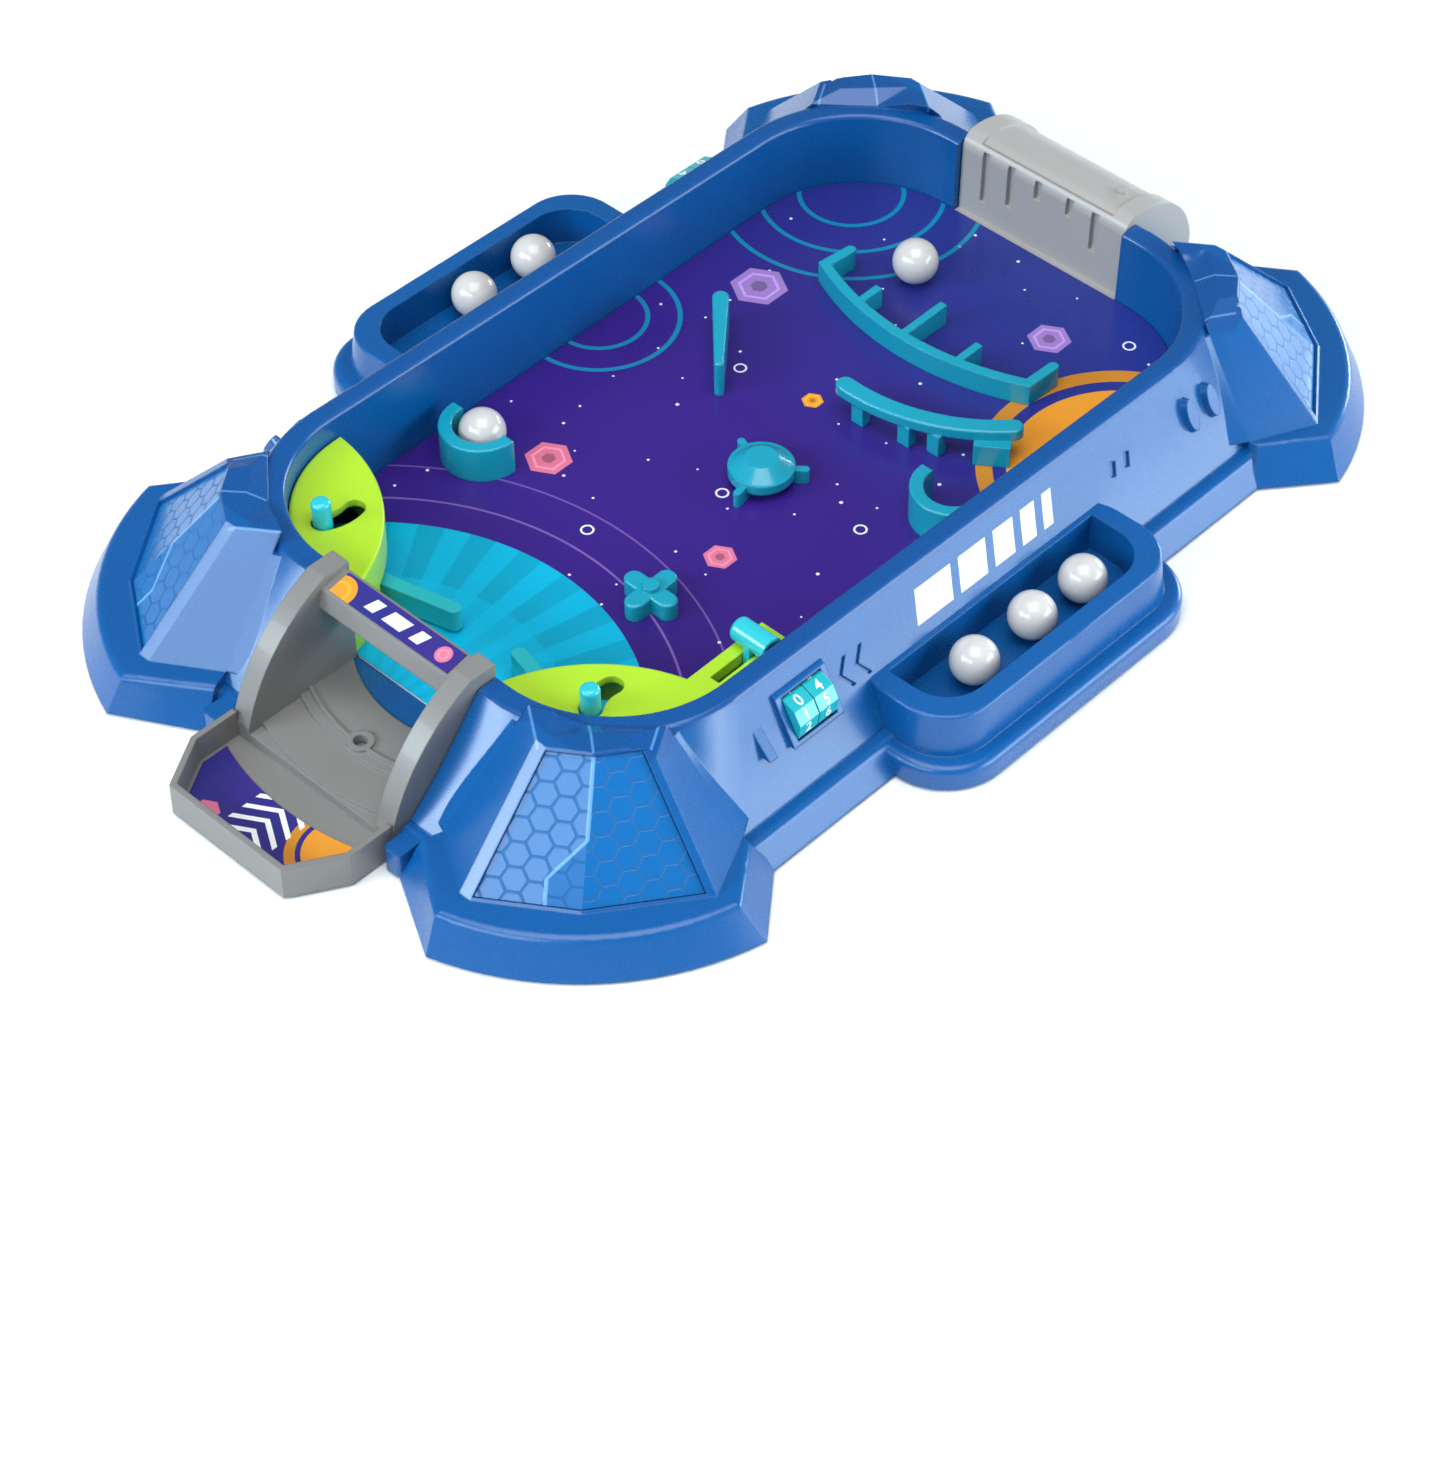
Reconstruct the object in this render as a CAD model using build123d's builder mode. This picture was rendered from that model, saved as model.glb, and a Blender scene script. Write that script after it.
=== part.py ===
from build123d import *
import os
from math import atan2, cos, degrees, hypot, radians, sin

os.makedirs("parts", exist_ok=True)

# A tabletop pinball game. X runs across the table, Y from the player's end (minus)
# to the far end (plus) and Z up, in millimetres, with the table top at Z = 0.

# Driving dimensions of the moulded cabinet
wall = 2.5
stand_off = 1.0
base_thickness = 2.5
rim_height = 40.0
rim_half_width = 83.5
rim_half_length = 139.0
rim_corner = 46.0
rim_round = 1.6
flare_foot_height = 10.0
flare_width = 17.5
flare_length = 27.0
flare_straight_share = 0.9
flare_section_count = 7
flange_height = 9.5
flange_half_width = 105.0
flange_half_length = 169.0
flange_corner = 58.0
flange_round = 2.5
flange_draft = 5.0
playfield_half_width = 77.0
playfield_half_length = 132.0
playfield_corner = 40.0
ledge_width = 5.0

# Driving dimensions of the corner feet, given for the far right one
skirt_height = 12.5
collar_height = 43.5
collar_bevel_width = 5.5
collar_bevel_height = 3.0
skirt_round = 2.6
skirt_sagitta = 12.0
skirt_top_sagitta = 10.5
foot_wall = 5.0
foot_end = (64.6, 191.5)
foot_side = (125.7, 125.6)
skirt_end = (62.9, 185.8)
skirt_side = (118.4, 128.9)
panel_foot_end = (64.5, 178.0)
panel_foot_side = (112.3, 130.5)
panel_top_end = (61.0, 145.2)
panel_top_middle = (73.3, 136.8)
panel_top_side = (82.2, 124.5)
foot_heel_end = (39.0, 177.0)
foot_heel_side = (108.9, 104.5)
skirt_heel_end = (41.5, 170.5)
skirt_heel_side = (105.5, 111.0)
flank_foot_end = (43.5, 164.5)
flank_foot_side = (102.5, 110.0)
collar_end = (48.5, 136.2)
collar_middle = (63.5, 128.7)
collar_side = (76.5, 115.0)
foot_root = (66.5, 121.5)
fill_foot_end = (37.5, 162.0)
fill_foot_side = (98.6, 103.5)
fill_top_end = (43.8, 138.7)
fill_top_side = (80.2, 110.5)
fill_inward = 0.25
panel_border = 2.6
panel_edge_bevel = 2.2
panel_top_border = 1.0
panel_thickness = 0.8
panel_recess = 1.8
panel_fit = 0.15
lug_at = (36.6, -172.6)
lug_size = (6.4, 9.6)
lug_height = 9.3
lug_round = 1.6

# Driving dimensions of the ball trays on the long sides
pod_height = 22.0
pod_reach = 123.5
pod_half_length = 51.0
pod_corner = 16.0
pod_draft = 2.0
pod_round = 1.0
pod_flange_height = 8.5
pod_flange_reach = 130.2
pod_flange_half_length = 57.0
pod_flange_corner = 20.0
pocket_start = 95.0
pocket_reach = 117.5
pocket_half_length = 44.0
pocket_corner = 13.0
pocket_floor = 9.0

# Driving dimensions of the score counters and the marks beside them
wheel_radius = 7.4
wheel_width = 7.5
wheel_sides = 10
wheel_turn = 12.0
wheel_clear = 0.5
wheel_apart = 0.4
counter_y = -73.0
counter_x = 88.4
counter_z = 25.6
counter_gap = 0.4
counter_cheek = 2.1
counter_frame_top = 34.5
counter_frame_bottom = 20.5
counter_frame_proud = 1.5
counter_frame_foot = 2.0
counter_frame_bevel = 0.6
axle_radius = 1.25
mark_depth = 0.8
mark_height = 27.0
fin_y = -91.1
fin_thickness = 3.2
fin_top = 29.5
fin_bottom = 22.5
fin_proud = 3.0
drop_half_width = 3.2
drop_half_height = 6.2
drop_proud = 2.4
drop_taper = 12.0
drop_height = 26.5
drop_places = (93.2, 102.7)
chevron_places = (-59.4, -52.8)
chevron_length = 3.4
chevron_half_height = 4.6
mark_width = 1.4
dash_places = (58.8, 65.0)
dash_lean = 20.0
dash_width = 2.2

# Driving dimensions of the screws and pads under the base
screw_places = ((84.0, 138.0), (91.0, 66.0))
boss_radius = 3.6
screw_radius = 1.25
screw_head_radius = 2.8
screw_head_height = 1.4
screw_length = 9.0
pad_place = (94.0, 152.0)
pad_radius = 6.0

# Driving dimensions of the sloping playfield and what stands on it
field_slope = 1.35
field_middle_height = 11.5
board_thickness = 3.0
sheet_thickness = 0.4
peg_radius = 1.5
ball_radius = 7.2
ball_rest_gap = 0.3
left_cup_at = (-60.0, -49.5)
right_cup_at = (59.5, 24.5)
cup_outer = 12.8
cup_inner = 8.6
cup_height = 12.0
cup_lip = 1.0
cup_edge_round = 0.6
guide_thickness = 3.4
guide_height = 7.4
guide_left_end = (-37.3, 88.0)
guide_left_bend = (-38.5, 77.5)
guide_middle = (2.5, 68.3)
guide_right_bend = (43.5, 77.5)
guide_right_end = (44.0, 88.5)
guide_fin_width = 2.6
guide_fins = ((-18.8, 70.7, 80.5), (1.0, 68.3, 88.0), (21.2, 70.1, 81.0))
bridge_start = (6.0, 37.5)
bridge_middle = (32.0, 41.5)
bridge_end = (55.0, 57.0)
bridge_width = 6.0
bridge_top = 11.0
bridge_thickness = 3.5
bridge_legs = ((12.8, 36.9), (29.0, 39.2), (38.0, 42.2))
bridge_leg_size = (4.5, 3.4)
bridge_block_at = (52.2, 51.0)
bridge_block_size = (11.0, 7.0)
bridge_block_turn = 35.0
wedge_far = (-47.5, 40.0)
wedge_near = (-27.0, 17.5)
wedge_far_width = 5.2
wedge_near_width = 3.0
wedge_height = 12.5
saucer_at = (8.5, -2.0)
saucer_foot_radius = 7.0
saucer_radius = 10.0
saucer_under = 3.0
saucer_edge = 6.0
saucer_top = 9.0
saucer_top_radius = 5.0
saucer_fin_reach = 13.0
saucer_fin_width = 2.4
saucer_fin_height = 5.0
saucer_fin_turn = 40.0
star_at = (20.5, -61.0)
star_length = 19.0
star_width = 6.0
star_height = 6.0
star_button_radius = 2.6
star_button_top = 7.5
edge_round = 0.8

# Driving dimensions of the flippers, given for the right one, and of their covers
cover_height = 23.0
cover_plate = 2.5
cover_wall = 2.0
cover_round = 1.0
cover_arc_centre = (79.5, -144.0)
cover_arc_radius = 54.5
cover_post_at = (36.0, -124.0)
cover_post_radius = 2.6
cover_peg_at = (72.3, -104.9)
pivot_at = (63.5, -110.0)
knob_at = (53.2, -117.3)
elbow_at = (36.0, -111.5)
tip_at = (13.2, -106.0)
flipper_swing = 48.0
flipper_clear = 0.8
flipper_height = 7.5
lever_width = 5.0
blade_width = 4.6
knob_radius = 2.9
knob_top = 31.5
knob_round = 1.6
knob_slot_gap = 0.5
hub_radius = 3.5
hub_rise = 1.0
pin_radius = 1.5
window_height = 10.5
window_reach = 75.0
window_margin = 7.0
coil_inner = 1.8
coil_outer = 3.0
coil_height = 4.5

# Driving dimensions of the launcher and its lane on the right cover
lane_x = 70.2
lane_half_width = 6.2
lane_inside_half = 3.9
lane_inside_height = 19.0
lane_near = -93.0
lane_far = -62.0
launcher_travel = 12.0
launcher_axis = 5.2
launcher_clear = 1.0
launcher_half_width = 3.2
launcher_top = 9.4
launcher_back = -80.0
launcher_front = -68.0
rod_radius = 2.4
rod_end = -60.0
striker_radius = 3.6
striker_thickness = 2.5
stem_thickness = 2.4
stem_near = -74.5
stem_far = -68.0
stem_gap = 0.4
grip_radius = 3.7
grip_y = -70.8
grip_height = 27.0
grip_length = 13.0
grip_left = 63.3
grip_round = 1.5
grip_bore = 2.2
grip_bore_depth = 6.0
spring_stop = -100.0
stop_thickness = 2.0
stop_height = 12.0
spring_radius = 2.7
spring_wire = 0.4
spring_pitch = 2.1
spring_samples = 360

# Driving dimensions of the exit chute and the far end panel
chute_half_width = 32.0
cheek_width = 6.5
cheek_wall = 2.5
chute_top = 44.5
chute_top_end = -141.0
chute_belly = (-159.5, 31.5)
cheek_foot = 8.0
sill_height = 7.5
sill_depth = 9.2
bar_outline = (
    (-133.5, 43.2),
    (-142.5, 41.2),
    (-144.0, 35.2),
    (-139.0, 34.2),
    (-138.0, 27.0),
    (-133.5, 27.0),
)
tray_height = 12.0
tray_floor = 3.0
tray_wall = 1.8
tray_back = 172.5
tray_corner = 187.5
tray_front = 203.5
tray_front_half_width = 22.5
chute_floor_steps = (8.0, 7.2, 6.4)
chute_step_radii = (63.0, 76.0)
chute_arc_centre = (0.0, -96.0)
chute_web = 3.0
chute_apron_radius = 45.4
chute_screw_at = (0.0, -154.4)
chute_boss_radius = 4.0
chute_boss_rise = 0.8
chute_rib_radii = (57.0, 60.0)
chute_rib_width = 1.2
chute_rib_rise = 0.8
chute_screw_head = 1.8
chute_screw_seat = 4.6
label_thickness = 0.3
bar_label_size = (46.4, 7.6)
tray_label_radius = 87.0
tray_label_margin = 1.0
far_lip = 132.0
far_lip_top = 14.2
far_face = 134.2
far_shoulder = 37.5
far_crown_front = (135.9, 41.3)
far_crown = (140.0, 43.0)
far_back_middle = (161.2, 34.2)
far_back_end = (169.0, 19.0)
far_foot_thickness = 2.4
far_half_width = 32.6
far_floor = 12.2
far_collar = 6.5
far_relief = 0.8
far_relief_foot = 22.0
far_wall = 2.0
groove_places = (-23.0, -12.8, -2.0, 10.6, 20.6)
groove_feet = (21.0, 24.5, 33.0, 33.5, 25.5)
groove_top = 39.5
groove_width = 2.6
groove_depth = 1.4
nub_at = (21.0, 146.5)
nub_radius = 1.6
nub_height = 1.4

# Where the loose balls lie
field_ball_at = (-18.6, 97.2)
cup_ball_at = (-60.7, -48.6)
right_tray_balls = ((106.0, -20.0), (106.0, 5.0), (106.7, 26.5))
left_tray_balls = ((-109.5, -5.0), (-109.5, 20.5))

# Fits
slip = 0.3
run = 0.05
peg_fit = 0.1
spring_seat = 0.1

base_top = stand_off + base_thickness
footprint_middle = (tray_front - foot_end[1]) / 2
four_ways = [(across, along) for across in (-1, 1) for along in (-1, 1)]
screw_spots = [(across * x, along * y) for x, y in screw_places for across, along in four_ways]
pad_spots = [(across * pad_place[0], along * pad_place[1]) for across, along in four_ways]
field = Plane(
    origin=(0, 0, field_middle_height),
    x_dir=(1, 0, 0),
    z_dir=(0, -sin(radians(field_slope)), cos(radians(field_slope))),
)
board_under = -(board_thickness + sheet_thickness)


def rounded(half_width, half_length, corner, z):
    """A rounded rectangle about the Z axis at height z."""
    with BuildSketch(Plane.XY.offset(z)) as outline:
        RectangleRounded(2 * half_width, 2 * half_length, corner)
    return outline.sketch


def side_rounded(start, reach, half_length, corner, z):
    """A rounded rectangle lying on the +X side, from start out to reach."""
    with BuildSketch(Plane.XY.offset(z)) as outline:
        with Locations(((start + reach) / 2, 0)):
            RectangleRounded(reach - start, 2 * half_length, corner)
    return outline.sketch


def flare(z):
    """Share of the concave flare that the outer wall has reached at height z."""
    drop = (rim_height - z) / (rim_height - flare_foot_height)
    return flare_straight_share * drop + (1 - flare_straight_share) * drop**4


def wall_x(z):
    """Distance of the long outer wall from the middle at height z."""
    return rim_half_width + flare_width * flare(z)


def flare_sections(inset):
    """Rounded rectangles from the rim down the flare, drawn in by inset."""
    top = rim_height - inset
    sections = []
    for i in range(flare_section_count):
        z = top - (top - flare_foot_height) * i / (flare_section_count - 1)
        grown = flare(z)
        half_width = rim_half_width + flare_width * grown - inset
        half_length = rim_half_length + flare_length * grown - inset
        corner = rim_corner + (flange_corner - rim_corner) * grown - inset
        sections.append(rounded(half_width, half_length, corner, z))
    return sections


def between(start, end, share):
    """Point part of the way from start to end in plan."""
    return (start[0] + share * (end[0] - start[0]), start[1] + share * (end[1] - start[1]))


def arc_middle(start, end, sagitta):
    """Middle point of an arc that bulges away from the origin by sagitta."""
    chord = Vector(*end) - Vector(*start)
    outward = Vector(-chord.Y, chord.X).normalized()
    middle = (Vector(*start) + Vector(*end)) / 2
    if outward.dot(middle) < 0:
        outward = outward * -1
    return middle + outward * sagitta


def skirt_section(end, side, sagitta, inset, z, heels=((), ())):
    """Plan of a corner foot's skirt at height z, with its round outer edge and its heels if given."""
    heel_end, heel_side = heels
    inner = [flank_foot_side, foot_root, flank_foot_end]
    if heel_end and heel_side:
        inner = [heel_side, *inner, heel_end]
    with BuildSketch(Plane.XY.offset(z)) as outline:
        with BuildLine():
            outer = ThreePointArc(end, arc_middle(end, side, sagitta), side)
            Polyline(outer @ 1, *inner, outer @ 0)
        make_face()
        if inset:
            offset(amount=-inset, kind=Kind.INTERSECTION, mode=Mode.REPLACE)
    return outline.sketch


def slope_section(points, inset, z):
    """Plan of a corner foot's faceted cone at height z."""
    with BuildSketch(Plane.XY.offset(z)) as outline:
        with BuildLine():
            Polyline(*points, close=True)
        make_face()
        if inset:
            offset(amount=-inset, kind=Kind.INTERSECTION, mode=Mode.REPLACE)
    return outline.sketch


def meet(start, along, other, across):
    """Crossing of two lines in plan, each given by a point and a direction."""
    side = Vector(*other) - Vector(*start)
    scale = along.X * across.Y - along.Y * across.X
    share = (side.X * across.Y - side.Y * across.X) / scale
    return tuple(Vector(*start) + along * share)[:2]


# Foot of the fold between a foot's two flat panels, which keeps both of them flat
panel_foot_middle = meet(
    panel_foot_end,
    Vector(*panel_top_middle) - Vector(*panel_top_end),
    panel_foot_side,
    Vector(*panel_top_side) - Vector(*panel_top_middle),
)


def fill_section(flank, fill, inward, z):
    """Plan at height z of the wedge that closes the crevice between a foot's flank and the wall."""
    with BuildSketch(Plane.XY.offset(z)) as outline:
        with BuildLine():
            Polyline(flank, fill, inward, close=True)
        make_face()
    return outline.sketch


def slope_points(top):
    """Corners of the faceted cone, at its top or at its foot."""
    if top:
        return (collar_end, panel_top_end, panel_top_middle, panel_top_side, collar_side, collar_middle)
    foot = (flank_foot_end, panel_foot_end, panel_foot_middle, panel_foot_side, flank_foot_side)
    return foot + (foot_root,)


def panel_plane(top_a, top_b, foot_a):
    """Plane of one half of a foot's panel, facing out, with X along its top edge."""
    origin = Vector(*top_a, collar_height)
    along = Vector(*top_b, collar_height) - origin
    down = Vector(*foot_a, skirt_height) - origin
    normal = along.cross(down).normalized()
    if normal.Z < 0:
        normal = normal * -1
    return Plane(origin=tuple(origin), x_dir=tuple(along), z_dir=tuple(normal))


def panel_half(top_a, top_b, foot_a, foot_b, border_at_a, shrink):
    """Outline of one panel half in its own plane, with a border at its outer side."""
    plane = panel_plane(top_a, top_b, foot_a)
    corners = []
    for plan, height in ((top_a, collar_height), (top_b, collar_height)):
        corners.append(plane.to_local_coords(Vector(*plan, height)))
    for plan, height in ((foot_b, skirt_height), (foot_a, skirt_height)):
        corners.append(plane.to_local_coords(Vector(*plan, height)))
    top_left, top_right, foot_right, foot_left = corners
    edge = panel_border + shrink
    if border_at_a:
        top_left = top_left + Vector(edge, 0)
        foot_left = foot_left + Vector(edge, 0)
    else:
        top_right = top_right - Vector(edge, 0)
        foot_right = foot_right - Vector(edge, 0)
    # Draw the top and the foot in along the two sides, so that both halves keep to the fold
    lift = panel_top_border + shrink
    left_step = (foot_left - top_left) * (lift / abs(foot_left.Y - top_left.Y))
    right_step = (foot_right - top_right) * (lift / abs(foot_right.Y - top_right.Y))
    top_left = top_left + left_step
    foot_left = foot_left - left_step
    top_right = top_right + right_step
    foot_right = foot_right - right_step
    with BuildSketch(plane) as outline:
        with BuildLine():
            Polyline(
                (top_left.X, top_left.Y),
                (top_right.X, top_right.Y),
                (foot_right.X, foot_right.Y),
                (foot_left.X, foot_left.Y),
                close=True,
            )
        make_face()
    return outline.sketch


def panel_halves(shrink):
    """Both halves of a foot's panel outline."""
    end_half = panel_half(
        panel_top_end, panel_top_middle, panel_foot_end, panel_foot_middle, True, shrink
    )
    side_half = panel_half(
        panel_top_middle, panel_top_side, panel_foot_middle, panel_foot_side, False, shrink
    )
    return (end_half, side_half)


def bar(start, end, width, plane):
    """A round-ended bar in plan from start to end."""
    run_x = end[0] - start[0]
    run_y = end[1] - start[1]
    with BuildSketch(plane) as outline:
        with Locations(((start[0] + end[0]) / 2, (start[1] + end[1]) / 2)):
            SlotCenterToCenter(hypot(run_x, run_y), width, rotation=degrees(atan2(run_y, run_x)))
    return outline.sketch


def finish_part(builder, name):
    """Label a finished piece, with the origin under the footprint's middle, and write it out."""
    placed = Pos(0, footprint_middle, 0) * builder.part
    placed.label = name
    export_step(placed, f"parts/{name}.step")


# Bodies that the cabinet shell is put together from
with BuildPart() as flared_body:
    loft(flare_sections(0))
    extrude(flare_sections(0)[-1], amount=stand_off - flare_foot_height, dir=(0, 0, 1))
    with BuildSketch(field.offset(board_under)):
        RectangleRounded(2 * playfield_half_width, 2 * playfield_half_length, playfield_corner)
    extrude(amount=2 * rim_height, dir=(0, 0, 1), mode=Mode.SUBTRACT)
    extrude(
        rounded(
            playfield_half_width - ledge_width,
            playfield_half_length - ledge_width,
            playfield_corner - ledge_width,
            0,
        ),
        amount=rim_height,
        mode=Mode.SUBTRACT,
    )
    fillet(flared_body.faces().sort_by(Axis.Z)[-1].edges(), rim_round)

with BuildPart() as flange_body:
    loft(
        [
            rounded(
                flange_half_width + flange_draft,
                flange_half_length + flange_draft,
                flange_corner + flange_draft,
                stand_off,
            ),
            rounded(flange_half_width, flange_half_length, flange_corner, flange_height),
        ],
        ruled=True,
    )
    fillet(flange_body.faces().sort_by(Axis.Z)[-1].edges(), flange_round)
    extrude(
        rounded(
            playfield_half_width + wall, playfield_half_length + wall, playfield_corner + wall, 0
        ),
        amount=rim_height,
        mode=Mode.SUBTRACT,
    )

fill_height = rim_height - rim_round
foot_heels = (foot_heel_end, foot_heel_side)
skirt_heels = (skirt_heel_end, skirt_heel_side)


def at_skirt_corner(edge):
    """Whether an edge ends at one of the skirt's two outer top corners."""
    corners = [Vector(*corner, skirt_height) for corner in (skirt_end, skirt_side)]
    return any((edge @ end - corner).length < slip for end in (0, 1) for corner in corners)


def beside_panel(edge):
    """Whether an edge runs down beside a foot's panel, from the collar to the skirt."""
    middles = []
    for top, foot in ((panel_top_end, panel_foot_end), (panel_top_side, panel_foot_side)):
        middles.append((Vector(*top, collar_height) + Vector(*foot, skirt_height)) / 2)
    return any((edge @ 0.5 - middle).length < slip for middle in middles)


with BuildPart() as feet_body:
    loft(
        [
            skirt_section(foot_end, foot_side, skirt_sagitta, 0, stand_off, foot_heels),
            skirt_section(skirt_end, skirt_side, skirt_top_sagitta, 0, skirt_height, skirt_heels),
        ],
        ruled=True,
    )
    fillet(
        feet_body.faces().sort_by(Axis.Z)[-1].edges().filter_by(at_skirt_corner),
        skirt_round,
    )
    loft(
        [
            slope_section(slope_points(False), 0, skirt_height),
            slope_section(slope_points(True), 0, collar_height),
        ],
        ruled=True,
    )
    collar_top = feet_body.faces().sort_by(Axis.Z)[-1]
    chamfer(
        collar_top.edges().sort_by(lambda e: e.center().length)[:2],
        collar_bevel_width,
        collar_bevel_height,
        reference=collar_top,
    )
    chamfer(feet_body.edges().filter_by(beside_panel), panel_edge_bevel)
    # Wedges that close the crevices between the flanks and the wall, up to the rim's rounding
    for flank_foot, collar, across_foot, across_top, fill_foot, fill_top in (
        (flank_foot_end, collar_end, panel_foot_side, panel_top_side, fill_foot_end, fill_top_end),
        (flank_foot_side, collar_side, panel_foot_end, panel_top_end, fill_foot_side, fill_top_side),
    ):
        climbed = (fill_height - skirt_height) / (collar_height - skirt_height)
        flank_top = between(flank_foot, collar, climbed)
        inward_foot = between(flank_foot, across_foot, fill_inward)
        inward_top = between(flank_top, between(across_foot, across_top, climbed), fill_inward)
        loft(
            [
                fill_section(flank_foot, fill_foot, inward_foot, skirt_height),
                fill_section(flank_top, fill_top, inward_top, fill_height),
            ],
            ruled=True,
        )
    for half in panel_halves(0):
        extrude(half, amount=-panel_recess, mode=Mode.SUBTRACT)
    mirror(about=Plane.YZ)
    mirror(about=Plane.XZ)

with BuildPart() as feet_hollow:
    loft(
        [
            skirt_section(foot_end, foot_side, skirt_sagitta, wall, stand_off),
            skirt_section(skirt_end, skirt_side, skirt_top_sagitta, wall, skirt_height - wall),
        ],
        ruled=True,
    )
    loft(
        [
            slope_section(slope_points(False), foot_wall, skirt_height - wall),
            slope_section(slope_points(True), foot_wall, collar_height - foot_wall),
        ],
        ruled=True,
    )
    mirror(about=Plane.YZ)
    mirror(about=Plane.XZ)

with BuildPart() as pod_body:
    loft(
        [
            side_rounded(
                rim_half_width,
                pod_reach + pod_draft,
                pod_half_length + pod_draft,
                pod_corner,
                stand_off,
            ),
            side_rounded(rim_half_width, pod_reach, pod_half_length, pod_corner, pod_height),
        ]
    )
    fillet(pod_body.faces().sort_by(Axis.Z)[-1].edges(), pod_round)
    mirror(about=Plane.YZ)

with BuildPart() as pod_flange:
    extrude(
        side_rounded(
            rim_half_width, pod_flange_reach, pod_flange_half_length, pod_flange_corner, stand_off
        ),
        amount=pod_flange_height - stand_off,
    )
    fillet(pod_flange.faces().sort_by(Axis.Z)[-1].edges(), flange_round)
    mirror(about=Plane.YZ)

with BuildPart() as pocket_form:
    with BuildSketch(Plane.XY.offset(pocket_floor)):
        with Locations(((pocket_start + pocket_reach) / 2, 0)):
            pocket_plan = Rectangle(pocket_reach - pocket_start, 2 * pocket_half_length)
        fillet(pocket_plan.vertices().group_by(Axis.X)[-1], pocket_corner)
    extrude(amount=rim_height)
    mirror(about=Plane.YZ)

notch_half_width = chute_half_width + slip
far_notch_half_width = far_half_width + slip
counter_half = wheel_width + counter_gap + counter_cheek

# The side wall's own details, for the right-hand wall
wall_slope = (wall_x(mark_height - 1) - wall_x(mark_height + 1)) / 2


def wall_plane(y, z):
    """Plane lying on the right-hand wall at y and z, with X along the wall and Y up it."""
    return Plane(origin=(wall_x(z), y, z), x_dir=(0, 1, 0), z_dir=(1, 0, wall_slope))


with BuildPart() as counter_block:
    with BuildSketch(Plane.XZ.offset(-counter_y - counter_half)):
        with BuildLine():
            Polyline(
                (playfield_half_width + wall / 2, counter_frame_top),
                (wall_x(counter_frame_top) + counter_frame_proud, counter_frame_top),
                (wall_x(counter_frame_bottom) + counter_frame_foot, counter_frame_bottom),
                (playfield_half_width + wall / 2, counter_frame_bottom),
                close=True,
            )
        make_face()
    extrude(amount=2 * counter_half)
    chamfer(counter_block.edges().filter_by(Axis.Y).sort_by(Axis.Z)[-1], counter_frame_bevel)

with BuildPart() as counter_pocket:
    with Locations(Location((counter_x, counter_y, counter_z), (90, 0, 0))):
        Cylinder(wheel_radius + wheel_clear, 2 * (wheel_width + counter_gap))
        Cylinder(axle_radius + run, 2 * counter_half + 2)

with BuildPart() as wall_details:
    with BuildSketch(Plane.XZ.offset(-fin_y - fin_thickness / 2)):
        with BuildLine():
            Polyline(
                (wall_x(fin_top) - wall, fin_top),
                (wall_x(fin_top), fin_top),
                (wall_x(fin_bottom) + fin_proud, fin_bottom),
                (wall_x(fin_bottom) - wall, fin_bottom),
                close=True,
            )
        make_face()
    extrude(amount=fin_thickness)
    for y in drop_places:
        with BuildSketch(wall_plane(y, drop_height).offset(-wall)):
            Ellipse(drop_half_width, drop_half_height)
        extrude(amount=wall + drop_proud, taper=drop_taper)

with BuildPart() as wall_marks:
    for y in chevron_places:
        with BuildSketch(wall_plane(y, mark_height).offset(-mark_depth)):
            with BuildLine():
                Polyline(
                    (0, 0),
                    (chevron_length, chevron_half_height),
                    (chevron_length + mark_width, chevron_half_height),
                    (mark_width, 0),
                    (chevron_length + mark_width, -chevron_half_height),
                    (chevron_length, -chevron_half_height),
                    close=True,
                )
            make_face()
        extrude(amount=wall + mark_depth)
    for y in dash_places:
        with BuildSketch(wall_plane(y, mark_height).offset(-mark_depth)):
            Rectangle(dash_width, chevron_half_height, rotation=-dash_lean)
        extrude(amount=wall + mark_depth)

half_turn = Rotation(0, 0, 180)

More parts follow.
